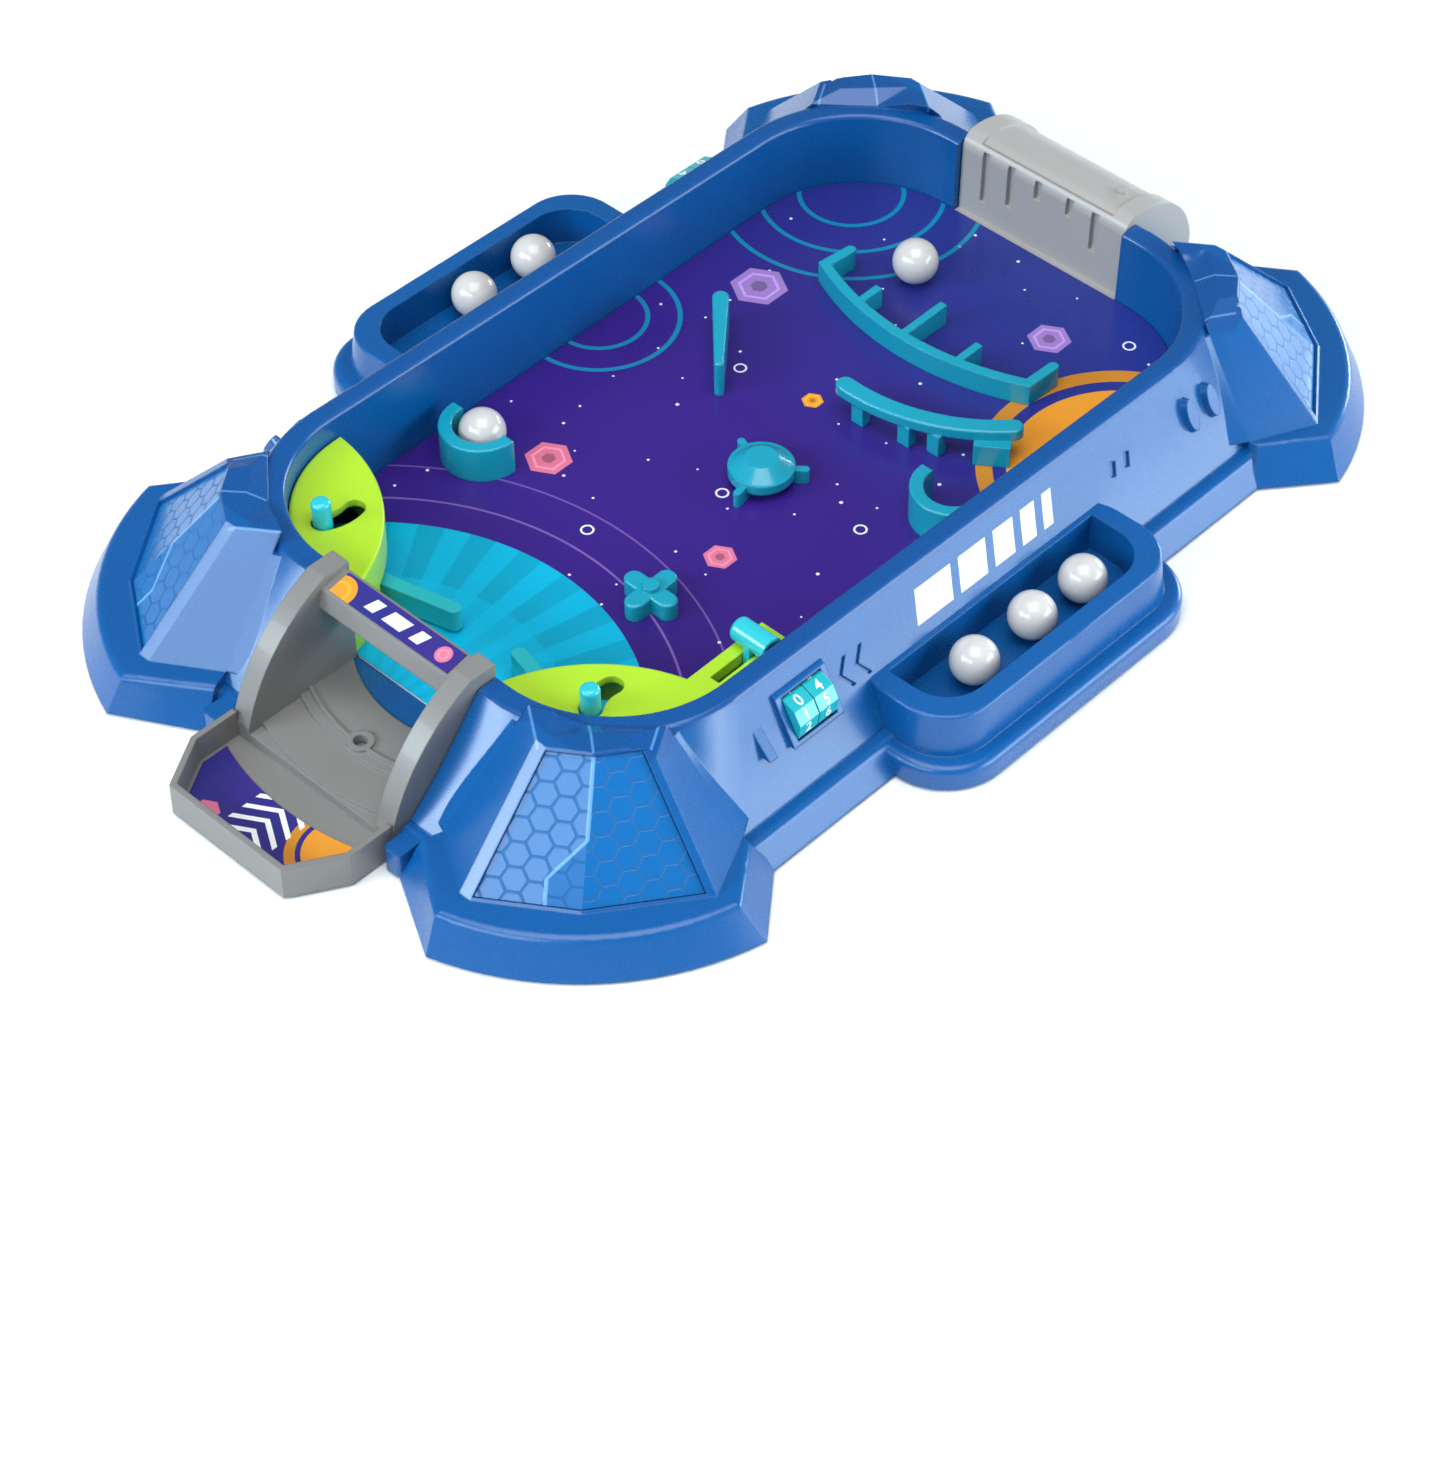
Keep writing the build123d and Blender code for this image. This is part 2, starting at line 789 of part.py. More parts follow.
# Space inside the shell
with BuildPart() as shell_hollow:
    loft(flare_sections(wall))
    extrude(flare_sections(wall)[-1], amount=-flare_foot_height, dir=(0, 0, 1))
    extrude(
        rounded(flange_half_width - wall, flange_half_length - wall, flange_corner - wall, 0),
        amount=flange_height - wall,
    )
    add(feet_hollow.part)
    for side in (0, 180):
        with Locations(Rotation(0, 0, side)):
            add(
                extrude(
                    side_rounded(
                        rim_half_width,
                        pod_flange_reach - wall,
                        pod_flange_half_length - wall,
                        pod_flange_corner - wall,
                        0,
                    ),
                    amount=pod_flange_height - wall,
                    mode=Mode.PRIVATE,
                )
            )
            add(
                extrude(
                    side_rounded(
                        rim_half_width,
                        pod_reach - wall,
                        pod_half_length - wall,
                        pod_corner - wall,
                        0,
                    ),
                    amount=pod_height - wall,
                    mode=Mode.PRIVATE,
                )
            )
    # What stays solid above the base plate: playfield wall, tray walls, end sills, bosses
    extrude(
        rounded(
            playfield_half_width + wall,
            playfield_half_length + wall,
            playfield_corner + wall,
            base_top,
        ),
        amount=rim_height,
        mode=Mode.SUBTRACT,
    )
    for side in (-1, 1):
        with Locations((side * (pocket_start + pocket_reach) / 2, 0, pocket_floor - wall)):
            Box(
                pocket_reach - pocket_start + 2 * wall,
                2 * (pocket_half_length + wall),
                rim_height,
                align=(Align.CENTER, Align.CENTER, Align.MIN),
                mode=Mode.SUBTRACT,
            )
        with Locations((0, side * flange_half_length, base_top)):
            Box(
                2 * (far_notch_half_width + wall),
                2 * (flange_half_length - playfield_half_length),
                2 * rim_height,
                align=(Align.CENTER, Align.CENTER, Align.MIN),
                mode=Mode.SUBTRACT,
            )
    with Locations(*[(x, y, base_top) for x, y in screw_spots]):
        Cylinder(
            boss_radius,
            2 * rim_height,
            align=(Align.CENTER, Align.CENTER, Align.MIN),
            mode=Mode.SUBTRACT,
        )

# The cabinet shell
with BuildPart() as upper_shell:
    add(flared_body.part)
    add(flange_body.part)
    add(feet_body.part)
    add(pod_flange.part)
    add(pod_body.part)
    add(shell_hollow.part, mode=Mode.SUBTRACT)
    add(counter_block.part)
    add(half_turn * counter_block.part)
    add(wall_details.part)
    add(half_turn * wall_details.part)
    add(pocket_form.part, mode=Mode.SUBTRACT)
    for cut in (counter_pocket, wall_marks):
        add(cut.part, mode=Mode.SUBTRACT)
        add(half_turn * cut.part, mode=Mode.SUBTRACT)
    # Lugs beside the catch tray
    for side in (-1, 1):
        with BuildSketch(Plane.XY.offset(stand_off)):
            with Locations((side * lug_at[0], lug_at[1])):
                RectangleRounded(*lug_size, lug_round)
        extrude(amount=lug_height - stand_off)
    # Opening of the near end over its sill, and the way for the chute outside it
    with Locations((0, -playfield_half_length, sill_height)):
        Box(
            2 * notch_half_width,
            2 * sill_depth,
            2 * rim_height,
            align=(Align.CENTER, Align.CENTER, Align.MIN),
            mode=Mode.SUBTRACT,
        )
    with Locations((0, -playfield_half_length - sill_depth, base_top)):
        Box(
            2 * notch_half_width,
            tray_front,
            2 * rim_height,
            align=(Align.CENTER, Align.MAX, Align.MIN),
            mode=Mode.SUBTRACT,
        )
    # Room for the catch tray past the flange's sloping foot
    with Locations((0, -flange_half_length, 0)):
        Box(
            2 * notch_half_width,
            2 * flange_draft,
            2 * rim_height,
            align=(Align.CENTER, Align.MAX, Align.MIN),
            mode=Mode.SUBTRACT,
        )
    # Seat of the far end panel
    with Locations((0, playfield_half_length - wall, far_floor)):
        Box(
            2 * far_notch_half_width,
            flange_half_length,
            2 * rim_height,
            align=(Align.CENTER, Align.MIN, Align.MIN),
            mode=Mode.SUBTRACT,
        )
    with Locations(*[(x, y, base_top) for x, y in screw_spots]):
        Cylinder(
            screw_radius + run,
            screw_length,
            align=(Align.CENTER, Align.CENTER, Align.MIN),
            mode=Mode.SUBTRACT,
        )
finish_part(upper_shell, "upper_shell")

# The base plate, its screws and its rubber pads
skirt_lean = hypot(foot_side[0] - skirt_side[0], foot_side[1] - skirt_side[1])
skirt_draft = skirt_lean / (skirt_height - wall - stand_off)
base_inset = wall + slip
skirt_base_inset = base_inset + base_thickness * skirt_draft
lower = (Align.CENTER, Align.CENTER, Align.MIN)

with BuildPart() as base_cover:
    extrude(
        skirt_section(foot_end, foot_side, skirt_sagitta, skirt_base_inset, stand_off),
        amount=base_thickness,
    )
    mirror(about=Plane.YZ)
    mirror(about=Plane.XZ)
    for half_width, half_length, corner in (
        (flange_half_width, flange_half_length, flange_corner),
        (pod_flange_reach, pod_flange_half_length, pod_flange_corner),
    ):
        extrude(
            rounded(
                half_width - base_inset, half_length - base_inset, corner - base_inset, stand_off
            ),
            amount=base_thickness,
        )
    with Locations(*[(x, y, stand_off) for x, y in screw_spots]):
        Cylinder(screw_head_radius + slip, screw_head_height, align=lower, mode=Mode.SUBTRACT)
    with Locations(*[(x, y, stand_off) for x, y in [*screw_spots, chute_screw_at]]):
        Cylinder(screw_radius + run, base_thickness, align=lower, mode=Mode.SUBTRACT)
finish_part(base_cover, "base_cover")

with BuildPart() as cover_screws:
    with Locations(*[(x, y, stand_off) for x, y in screw_spots]):
        Cylinder(screw_head_radius, screw_head_height, align=lower)
        Cylinder(screw_radius, base_thickness + screw_length - slip, align=lower)
finish_part(cover_screws, "cover_screws")

with BuildPart() as rubber_pads:
    with Locations(*[(x, y, 0) for x, y in pad_spots]):
        Cylinder(pad_radius, stand_off, align=lower)
finish_part(rubber_pads, "rubber_pads")

# The panels let into the corner feet
with BuildPart() as panel_master:
    for half in panel_halves(panel_fit):
        extrude(half, amount=-panel_recess)
    for half in panel_halves(-panel_border):
        extrude(half, amount=panel_thickness - panel_recess, mode=Mode.SUBTRACT)

for side, across in (("left", -1), ("right", 1)):
    for end, along in (("near", -1), ("far", 1)):
        with BuildPart() as corner_panel:
            add(panel_master.part)
            if across < 0:
                mirror(about=Plane.YZ, mode=Mode.REPLACE)
            if along < 0:
                mirror(about=Plane.XZ, mode=Mode.REPLACE)
        finish_part(corner_panel, f"corner_panel_{end}_{side}")

# Places of the pegs that hold the playfield's pieces in the board
cup_peg = (cup_outer + cup_inner) / 2 * cos(radians(45))


pegs = {
    "left_cup": [(left_cup_at[0] + dx, left_cup_at[1] - cup_peg) for dx in (-cup_peg, cup_peg)],
    "right_cup": [(right_cup_at[0] + dx, right_cup_at[1] - cup_peg) for dx in (-cup_peg, cup_peg)],
    "upper_arc_guide": [fin[:2] for fin in guide_fins],
    "lower_arc_guide": [bridge_legs[0], bridge_legs[2], bridge_block_at],
    "wedge_post": [between(wedge_far, wedge_near, share) for share in (0.25, 0.7)],
    "saucer_bumper": [(saucer_at[0] + dx, saucer_at[1]) for dx in (-star_width, star_width)],
    "star_bumper": [(star_at[0] + dx, star_at[1]) for dx in (-star_width, star_width)],
    "right_flipper_cover": [cover_post_at, cover_peg_at],
    "left_flipper_cover": [(-x, y) for x, y in (cover_post_at, cover_peg_at)],
}


def peg_circles(name):
    """Plan of the pegs under one of the playfield's pieces."""
    with BuildSketch(field) as circles:
        with Locations(*pegs[name]):
            Circle(peg_radius)
    return circles.sketch


# The playfield board with its printed sheet
for name, level, thickness in (
    ("playfield_board", board_under, board_thickness),
    ("playfield_sheet", -sheet_thickness, sheet_thickness),
):
    with BuildPart() as layer:
        with BuildSketch(field.offset(level)):
            RectangleRounded(
                2 * (playfield_half_width - slip),
                2 * (playfield_half_length - slip),
                playfield_corner - slip,
            )
            with Locations(*[spot for spots in pegs.values() for spot in spots]):
                Circle(peg_radius + peg_fit, mode=Mode.SUBTRACT)
            with Locations(pivot_at, (-pivot_at[0], pivot_at[1])):
                Circle(pin_radius + run, mode=Mode.SUBTRACT)
        extrude(amount=thickness)
    finish_part(layer, name)

# The half-round cups that hold a ball
for name, spot in (("left_cup", left_cup_at), ("right_cup", right_cup_at)):
    with BuildPart() as cup:
        with BuildSketch(field):
            with Locations(spot):
                Circle(cup_outer)
                Circle(cup_inner, mode=Mode.SUBTRACT)
            with Locations((spot[0], spot[1] + cup_lip)):
                Rectangle(
                    2 * cup_outer,
                    2 * cup_outer,
                    align=(Align.CENTER, Align.MIN),
                    mode=Mode.SUBTRACT,
                )
        extrude(amount=cup_height)
        fillet(cup.faces().sort_by(Axis.Z)[-1].edges(), cup_edge_round)
        extrude(peg_circles(name), amount=board_under)
    finish_part(cup, name)

# The wide arc guide with its three fins, up the field
with BuildPart() as upper_arc_guide:
    with BuildSketch(field):
        with BuildLine():
            Line(guide_left_end, guide_left_bend)
            ThreePointArc(guide_left_bend, guide_middle, guide_right_bend)
            Line(guide_right_bend, guide_right_end)
        trace(line_width=guide_thickness)
        with Locations(guide_left_end, guide_left_bend, guide_right_bend, guide_right_end):
            Circle(guide_thickness / 2)
        for x, near, far in guide_fins:
            with Locations((x, near)):
                Rectangle(guide_fin_width, far - near, align=(Align.CENTER, Align.MIN))
    extrude(amount=guide_height)
    extrude(peg_circles("upper_arc_guide"), amount=board_under)
finish_part(upper_arc_guide, "upper_arc_guide")

# The raised arc guide on its legs
with BuildPart() as lower_arc_guide:
    with BuildSketch(field.offset(bridge_top - bridge_thickness)):
        with BuildLine():
            ThreePointArc(bridge_start, bridge_middle, bridge_end)
        trace(line_width=bridge_width)
        with Locations(bridge_start, bridge_end):
            Circle(bridge_width / 2)
    extrude(amount=bridge_thickness)
    fillet(lower_arc_guide.faces().sort_by(Axis.Z)[-1].edges(), edge_round)
    with BuildSketch(field):
        with Locations(*bridge_legs):
            Rectangle(*bridge_leg_size)
        with Locations(bridge_block_at):
            Rectangle(*bridge_block_size, rotation=bridge_block_turn)
    extrude(amount=bridge_top - bridge_thickness)
    extrude(peg_circles("lower_arc_guide"), amount=board_under)
finish_part(lower_arc_guide, "lower_arc_guide")

# The tapering post
with BuildPart() as wedge_post:
    with BuildSketch(field):
        with Locations(wedge_far):
            Circle(wedge_far_width / 2)
        with Locations(wedge_near):
            Circle(wedge_near_width / 2)
        make_hull()
    extrude(amount=wedge_height)
    fillet(wedge_post.faces().sort_by(Axis.Z)[-1].edges(), edge_round)
    extrude(peg_circles("wedge_post"), amount=board_under)
finish_part(wedge_post, "wedge_post")

# The round bumper with three fins
with BuildPart() as saucer_bumper:
    with BuildSketch(field):
        with Locations(saucer_at):
            Circle(saucer_foot_radius)
    extrude(amount=saucer_edge)
    with BuildSketch(field.offset(saucer_under)):
        with Locations(saucer_at):
            Circle(saucer_radius)
    extrude(amount=saucer_edge - saucer_under)
    with BuildSketch(field.offset(saucer_edge)) as saucer_rim:
        with Locations(saucer_at):
            Circle(saucer_radius - edge_round)
    with BuildSketch(field.offset(saucer_top)) as saucer_crown:
        with Locations(saucer_at):
            Circle(saucer_top_radius)
    loft([saucer_rim.sketch, saucer_crown.sketch])
    for i in range(3):
        turn = radians(saucer_fin_turn + 120 * i)
        fin_end = (
            saucer_at[0] + saucer_fin_reach * cos(turn),
            saucer_at[1] + saucer_fin_reach * sin(turn),
        )
        extrude(bar(saucer_at, fin_end, saucer_fin_width, field), amount=saucer_fin_height)
    extrude(peg_circles("saucer_bumper"), amount=board_under)
finish_part(saucer_bumper, "saucer_bumper")

# The cross-shaped bumper with its button
with BuildPart() as star_bumper:
    with BuildSketch(field):
        with Locations(star_at):
            SlotOverall(star_length, star_width)
            SlotOverall(star_length, star_width, rotation=90)
    extrude(amount=star_height)
    fillet(star_bumper.faces().sort_by(Axis.Z)[-1].edges(), edge_round)
    with BuildSketch(field):
        with Locations(star_at):
            Circle(star_button_radius)
    extrude(amount=star_button_top)
    extrude(peg_circles("star_bumper"), amount=board_under)
finish_part(star_bumper, "star_bumper")

# The flippers, worked by knobs that stand up through their covers
flipper_level = field.offset(flipper_clear)
with BuildPart() as right_flipper:
    for start, end, width in (
        (pivot_at, elbow_at, lever_width),
        (pivot_at, knob_at, lever_width),
        (elbow_at, tip_at, blade_width),
    ):
        extrude(bar(start, end, width, flipper_level), amount=flipper_height)
    with BuildSketch(flipper_level):
        with Locations(pivot_at):
            Circle(hub_radius)
    extrude(amount=flipper_height + hub_rise)
    with BuildSketch(flipper_level):
        with Locations(knob_at):
            Circle(knob_radius)
    extrude(amount=knob_top - flipper_clear)
    fillet(right_flipper.faces().sort_by(Axis.Z)[-1].edges(), knob_round)
    with BuildSketch(flipper_level):
        with Locations(pivot_at):
            Circle(pin_radius + run)
    extrude(amount=flipper_height + hub_rise, mode=Mode.SUBTRACT)
finish_part(right_flipper, "right_flipper")

with BuildPart() as left_flipper:
    add(right_flipper.part)
    mirror(about=Plane.YZ, mode=Mode.REPLACE)
finish_part(left_flipper, "left_flipper")

with BuildPart() as flipper_pivot_pins:
    with BuildSketch(field.offset(board_under)):
        with Locations(pivot_at, (-pivot_at[0], pivot_at[1])):
            Circle(pin_radius)
    extrude(amount=cover_height - cover_plate - slip - board_under)
finish_part(flipper_pivot_pins, "flipper_pivot_pins")

# Return springs, coiled round the pins above the hubs
coil_level = field.offset(flipper_clear + flipper_height + hub_rise + slip)
with BuildPart() as right_flipper_spring:
    with BuildSketch(coil_level):
        with Locations(pivot_at):
            Circle(coil_outer)
            Circle(coil_inner, mode=Mode.SUBTRACT)
    extrude(amount=coil_height)
finish_part(right_flipper_spring, "right_flipper_spring")

with BuildPart() as left_flipper_spring:
    add(right_flipper_spring.part)
    mirror(about=Plane.YZ, mode=Mode.REPLACE)
finish_part(left_flipper_spring, "left_flipper_spring")


def leaf(inset):
    """Plan of a flipper cover, drawn in from the cabinet wall and its own arc."""
    gap = slip + inset
    with BuildSketch(field) as outline:
        RectangleRounded(
            2 * (playfield_half_width - gap),
            2 * (playfield_half_length - gap),
            playfield_corner - gap,
        )
        with Locations(cover_arc_centre):
            Circle(cover_arc_radius - inset, mode=Mode.INTERSECT)
    return outline.sketch


knob_offset = (knob_at[0] - pivot_at[0], knob_at[1] - pivot_at[1])
knob_reach = hypot(*knob_offset)
knob_angle = degrees(atan2(knob_offset[1], knob_offset[0]))
blade_angle = degrees(atan2(tip_at[1] - pivot_at[1], tip_at[0] - pivot_at[0]))
lever_angle = degrees(atan2(elbow_at[1] - pivot_at[1], elbow_at[0] - pivot_at[0])) % 360
window_turns = [
    lever_angle + window_margin,
    blade_angle - flipper_swing / 2,
    blade_angle - flipper_swing - window_margin,
]


def round_pivot(reach, turn):
    """Point at a distance and an angle in degrees from the flipper's pivot."""
    return (
        pivot_at[0] + reach * cos(radians(turn)),
        pivot_at[1] + reach * sin(radians(turn)),
    )


with BuildPart() as cover_master:
    extrude(leaf(0), amount=cover_height, dir=(0, 0, 1))
    fillet(cover_master.faces().sort_by(Axis.Z)[-1].edges(), cover_round)
    extrude(
        leaf(cover_wall), amount=cover_height - cover_plate, dir=(0, 0, 1), mode=Mode.SUBTRACT
    )
    with BuildSketch(field):
        with BuildLine():
            Polyline(
                pivot_at,
                *[round_pivot(window_reach, turn) for turn in window_turns],
                close=True,
            )
        make_face()
    extrude(amount=window_height, mode=Mode.SUBTRACT)
    with BuildSketch(field.offset(cover_height - 2 * cover_plate)):
        with BuildLine():
            knob_path = CenterArc(pivot_at, knob_reach, knob_angle, -flipper_swing)
        trace(line_width=2 * (knob_radius + knob_slot_gap))
        with Locations(knob_path @ 0, knob_path @ 1):
            Circle(knob_radius + knob_slot_gap)
    extrude(amount=3 * cover_plate, mode=Mode.SUBTRACT)
    with BuildSketch(field):
        with Locations(cover_post_at):
            Circle(cover_post_radius)
    extrude(amount=cover_height - cover_plate)
    extrude(peg_circles("right_flipper_cover"), amount=board_under)

with BuildPart() as left_flipper_cover:
    add(cover_master.part)
    mirror(about=Plane.YZ, mode=Mode.REPLACE)
finish_part(left_flipper_cover, "left_flipper_cover")

with BuildPart() as lane_housing:
    with BuildSketch(field):
        with Locations((lane_x, lane_near)):
            Rectangle(2 * lane_half_width, lane_far - lane_near, align=(Align.CENTER, Align.MIN))
    extrude(amount=cover_height, dir=(0, 0, 1))
    fillet(lane_housing.faces().sort_by(Axis.Z)[-1].edges(), cover_round)

with BuildPart() as right_flipper_cover:
    add(cover_master.part)
    add(lane_housing.part)
    with BuildSketch(field):
        with Locations((lane_x, lane_near - cover_wall)):
            Rectangle(
                2 * lane_inside_half,
                lane_far - lane_near + 2 * cover_wall,
                align=(Align.CENTER, Align.MIN),
            )
    extrude(amount=lane_inside_height, dir=(0, 0, 1), mode=Mode.SUBTRACT)
    with BuildSketch(field.offset(lane_inside_height - cover_plate)):
        with Locations((lane_x, stem_near - launcher_travel - stem_gap)):
            Rectangle(
                stem_thickness + 2 * stem_gap,
                stem_far - stem_near + launcher_travel + 2 * stem_gap,
                align=(Align.CENTER, Align.MIN),
            )
    extrude(amount=cover_height, mode=Mode.SUBTRACT)
    with BuildSketch(field):
        with Locations((lane_x, spring_stop)):
            Rectangle(2 * launcher_half_width, stop_thickness, align=(Align.CENTER, Align.MAX))
    extrude(amount=stop_height)
finish_part(right_flipper_cover, "right_flipper_cover")


def lane_plane(x, y, height, facing):
    """Plane across the launcher's way, at field coordinates, facing the given way."""
    return Plane(origin=tuple(field.from_local_coords((x, y, height))), x_dir=(0, 0, 1), z_dir=facing)


# The launcher, pulled back by its grip against its spring
up_field = tuple(field.y_dir)
with BuildPart() as launcher:
    with BuildSketch(field.offset(launcher_clear)):
        with Locations((lane_x, launcher_back)):
            Rectangle(
                2 * launcher_half_width,
                launcher_front - launcher_back,
                align=(Align.CENTER, Align.MIN),
            )
    extrude(amount=launcher_top - launcher_clear)
    with BuildSketch(field.offset(launcher_top)):
        with Locations((lane_x, stem_near)):
            Rectangle(stem_thickness, stem_far - stem_near, align=(Align.CENTER, Align.MIN))
    extrude(amount=grip_height - launcher_top)
    with BuildSketch(lane_plane(lane_x, launcher_front, launcher_axis, up_field)):
        Circle(rod_radius)
    extrude(amount=rod_end - launcher_front)
    with BuildSketch(lane_plane(lane_x, rod_end, launcher_axis, up_field)):
        Circle(striker_radius)
    extrude(amount=striker_thickness)
    fillet(launcher.faces().sort_by(Axis.Y)[-1].edges(), edge_round)
    with BuildSketch(lane_plane(grip_left, grip_y, grip_height, (1, 0, 0))):
        Circle(grip_radius)
    extrude(amount=grip_length)
    fillet(launcher.faces().sort_by(Axis.X)[0].edges(), grip_round)
    with BuildSketch(lane_plane(grip_left + grip_length, grip_y, grip_height, (-1, 0, 0))):
        Circle(grip_bore)
    extrude(amount=grip_bore_depth, mode=Mode.SUBTRACT)
finish_part(launcher, "launcher")

spring_length = launcher_back - spring_stop - 2 * (spring_wire + spring_seat)
spring_start = field.from_local_coords(
    (lane_x, spring_stop + spring_wire + spring_seat, launcher_axis)
)
with BuildPart() as launcher_spring:
    with BuildLine() as spring_line:
        Helix(spring_pitch, spring_length, spring_radius, tuple(spring_start), up_field)
    with BuildSketch(Plane(origin=tuple(spring_line.line @ 0), z_dir=tuple(spring_line.line % 0))):
        Circle(spring_wire)
    sweep(path=spring_line.line)
finish_part(launcher_spring, "launcher_spring")

# Least gap between the spring's turns, measured on points along its middle line
spring_points = [spring_line.line @ (i / spring_samples) for i in range(spring_samples + 1)]
half_a_turn = int(spring_samples * spring_pitch / spring_length / 2)
least_apart = min(
    (spring_points[j] - spring_points[i]).length
    for i in range(spring_samples)
    for j in range(i + half_a_turn, spring_samples + 1)
)
print("launcher_spring least gap to itself, mm:", round(least_apart - 2 * spring_wire, 3))

# The score wheels, two to a counter, and the axles they turn on
wheel_middle = (wheel_width + wheel_apart) / 2
for counter, turned in (("right", Rotation(0, 0, 0)), ("left", half_turn)):
    for place, shift in (("near", -wheel_middle), ("far", wheel_middle)):
        with BuildPart() as score_wheel:
            with BuildSketch(Plane.XZ.offset(-counter_y - shift - wheel_width / 2)):
                with Locations((counter_x, counter_z)):
                    RegularPolygon(wheel_radius, wheel_sides, rotation=wheel_turn)
                    Circle(axle_radius + run, mode=Mode.SUBTRACT)
            extrude(amount=wheel_width)
        with BuildPart() as placed_wheel:
            add(turned * score_wheel.part)
        finish_part(placed_wheel, f"{counter}_score_wheel_{place}")
    with BuildPart() as axle:
        with Locations(turned * Location((counter_x, counter_y, counter_z), (90, 0, 0))):
            Cylinder(axle_radius, 2 * (counter_half - slip))
    finish_part(axle, f"{counter}_counter_axle")


def cheek_outline(x):
    """Side view of the chute's cheek in the plane at x."""
    back = -playfield_half_length - slip
    sill_end = back - sill_depth
    with BuildSketch(Plane.YZ.offset(x)) as outline:
        with BuildLine():
            rise = Polyline(
                (sill_end, base_top),
                (sill_end, sill_height + slip),
                (back, sill_height + slip),
                (back, chute_top),
                (chute_top_end, chute_top),
            )
            belly = ThreePointArc(rise @ 1, chute_belly, (-tray_back, cheek_foot))
            Polyline(belly @ 1, (-tray_back, base_top), rise @ 0)
        make_face()
    return outline.sketch


# The exit chute with its two cheeks, cross bar, stepped floor and catch tray
cheek_inside = chute_half_width - cheek_width
sill_outside = -playfield_half_length - sill_depth - slip
tray_plan = [
    (chute_half_width, -tray_back + chute_web),
    (chute_half_width, -tray_corner),
    (tray_front_half_width, -tray_front),
    (-tray_front_half_width, -tray_front),
    (-chute_half_width, -tray_corner),
    (-chute_half_width, -tray_back + chute_web),
]


def tray_inside(inset, z):
    """Plan of the catch tray inside its walls, open toward the chute."""
    with BuildSketch(Plane.XY.offset(z)) as outline:
        with BuildLine():
            Polyline(*tray_plan, close=True)
        make_face()
        offset(amount=-inset, kind=Kind.INTERSECTION, mode=Mode.REPLACE)
    return outline.sketch


with BuildPart() as exit_chute:
    extrude(cheek_outline(cheek_inside), amount=cheek_width)
    with BuildSketch(Plane.YZ.offset(cheek_inside + cheek_wall)):
        add(cheek_outline(0).face())
        offset(amount=-cheek_wall, kind=Kind.INTERSECTION, mode=Mode.REPLACE)
    extrude(amount=cheek_width, mode=Mode.SUBTRACT)
    mirror(about=Plane.YZ)
    with BuildSketch(Plane.YZ.offset(-cheek_inside)):
        with BuildLine():
            Polyline(*bar_outline, close=True)
        make_face()
    extrude(amount=2 * cheek_inside)
    with Locations((0, sill_outside, base_top)):
        Box(
            2 * cheek_inside,
            tray_back + sill_outside,
            chute_floor_steps[0] - base_top,
            align=(Align.CENTER, Align.MAX, Align.MIN),
        )
    for radius, level in zip(chute_step_radii, chute_floor_steps[1:]):
        with BuildSketch(Plane.XY.offset(level)):
            with Locations((0, -tray_back)):
                Rectangle(2 * cheek_inside, tray_back + sill_outside, align=(Align.CENTER, Align.MIN))
            with Locations(chute_arc_centre):
                Circle(radius, mode=Mode.SUBTRACT)
        extrude(amount=chute_floor_steps[0], mode=Mode.SUBTRACT)
    # Apron over the sill, with a round edge toward the playfield
    with BuildSketch(Plane.XY.offset(sill_height)):
        with Locations((0, sill_outside - chute_web)):
            Rectangle(
                2 * cheek_inside, sill_depth + chute_web, align=(Align.CENTER, Align.MIN)
            )
        with Locations(chute_arc_centre):
            Circle(chute_apron_radius, mode=Mode.SUBTRACT)
    extrude(amount=chute_floor_steps[0] - sill_height)
    # Boss for the screw and the pair of ribs beside it
    with BuildSketch(Plane.XY.offset(base_top)):
        with Locations(chute_screw_at):
            Circle(chute_boss_radius)
    extrude(amount=chute_floor_steps[0] + chute_boss_rise - base_top)
    with BuildSketch(Plane.XY.offset(base_top)):
        with Locations(chute_arc_centre):
            for radius in chute_rib_radii:
                Circle(radius)
                Circle(radius - chute_rib_width, mode=Mode.SUBTRACT)
        with Locations((0, sill_outside)):
            Rectangle(
                2 * cheek_inside, tray_back, align=(Align.CENTER, Align.MAX), mode=Mode.INTERSECT
            )
    extrude(amount=chute_floor_steps[0] + chute_rib_rise - base_top)
    with BuildSketch(Plane.XY.offset(chute_screw_seat)):
        with Locations(chute_screw_at):
            Circle(chute_screw_head + slip)
    extrude(amount=sill_height, mode=Mode.SUBTRACT)
    with BuildSketch(Plane.XY.offset(base_top)):
        with Locations(chute_screw_at):
            Circle(screw_radius + run)
    extrude(amount=sill_height, mode=Mode.SUBTRACT)
    # Catch tray
    with BuildSketch(Plane.XY.offset(stand_off)):
        with BuildLine():
            Polyline(*tray_plan, close=True)
        make_face()
    extrude(amount=chute_floor_steps[-1] - stand_off)
    with BuildSketch(Plane.XY.offset(stand_off)):
        with BuildLine():
            Polyline(*tray_plan, close=True)
        make_face()
        with Locations((0, -tray_back)):
            Rectangle(
                3 * chute_half_width, tray_back, align=(Align.CENTER, Align.MIN), mode=Mode.SUBTRACT
            )
    extrude(amount=tray_height - stand_off)
    with BuildSketch(Plane.XY.offset(tray_floor)):
        add(tray_inside(tray_wall, 0).face())
        with Locations((0, -tray_back)):
            Rectangle(
                3 * chute_half_width, tray_back, align=(Align.CENTER, Align.MIN), mode=Mode.SUBTRACT
            )
    extrude(amount=tray_height, mode=Mode.SUBTRACT)
finish_part(exit_chute, "exit_chute")

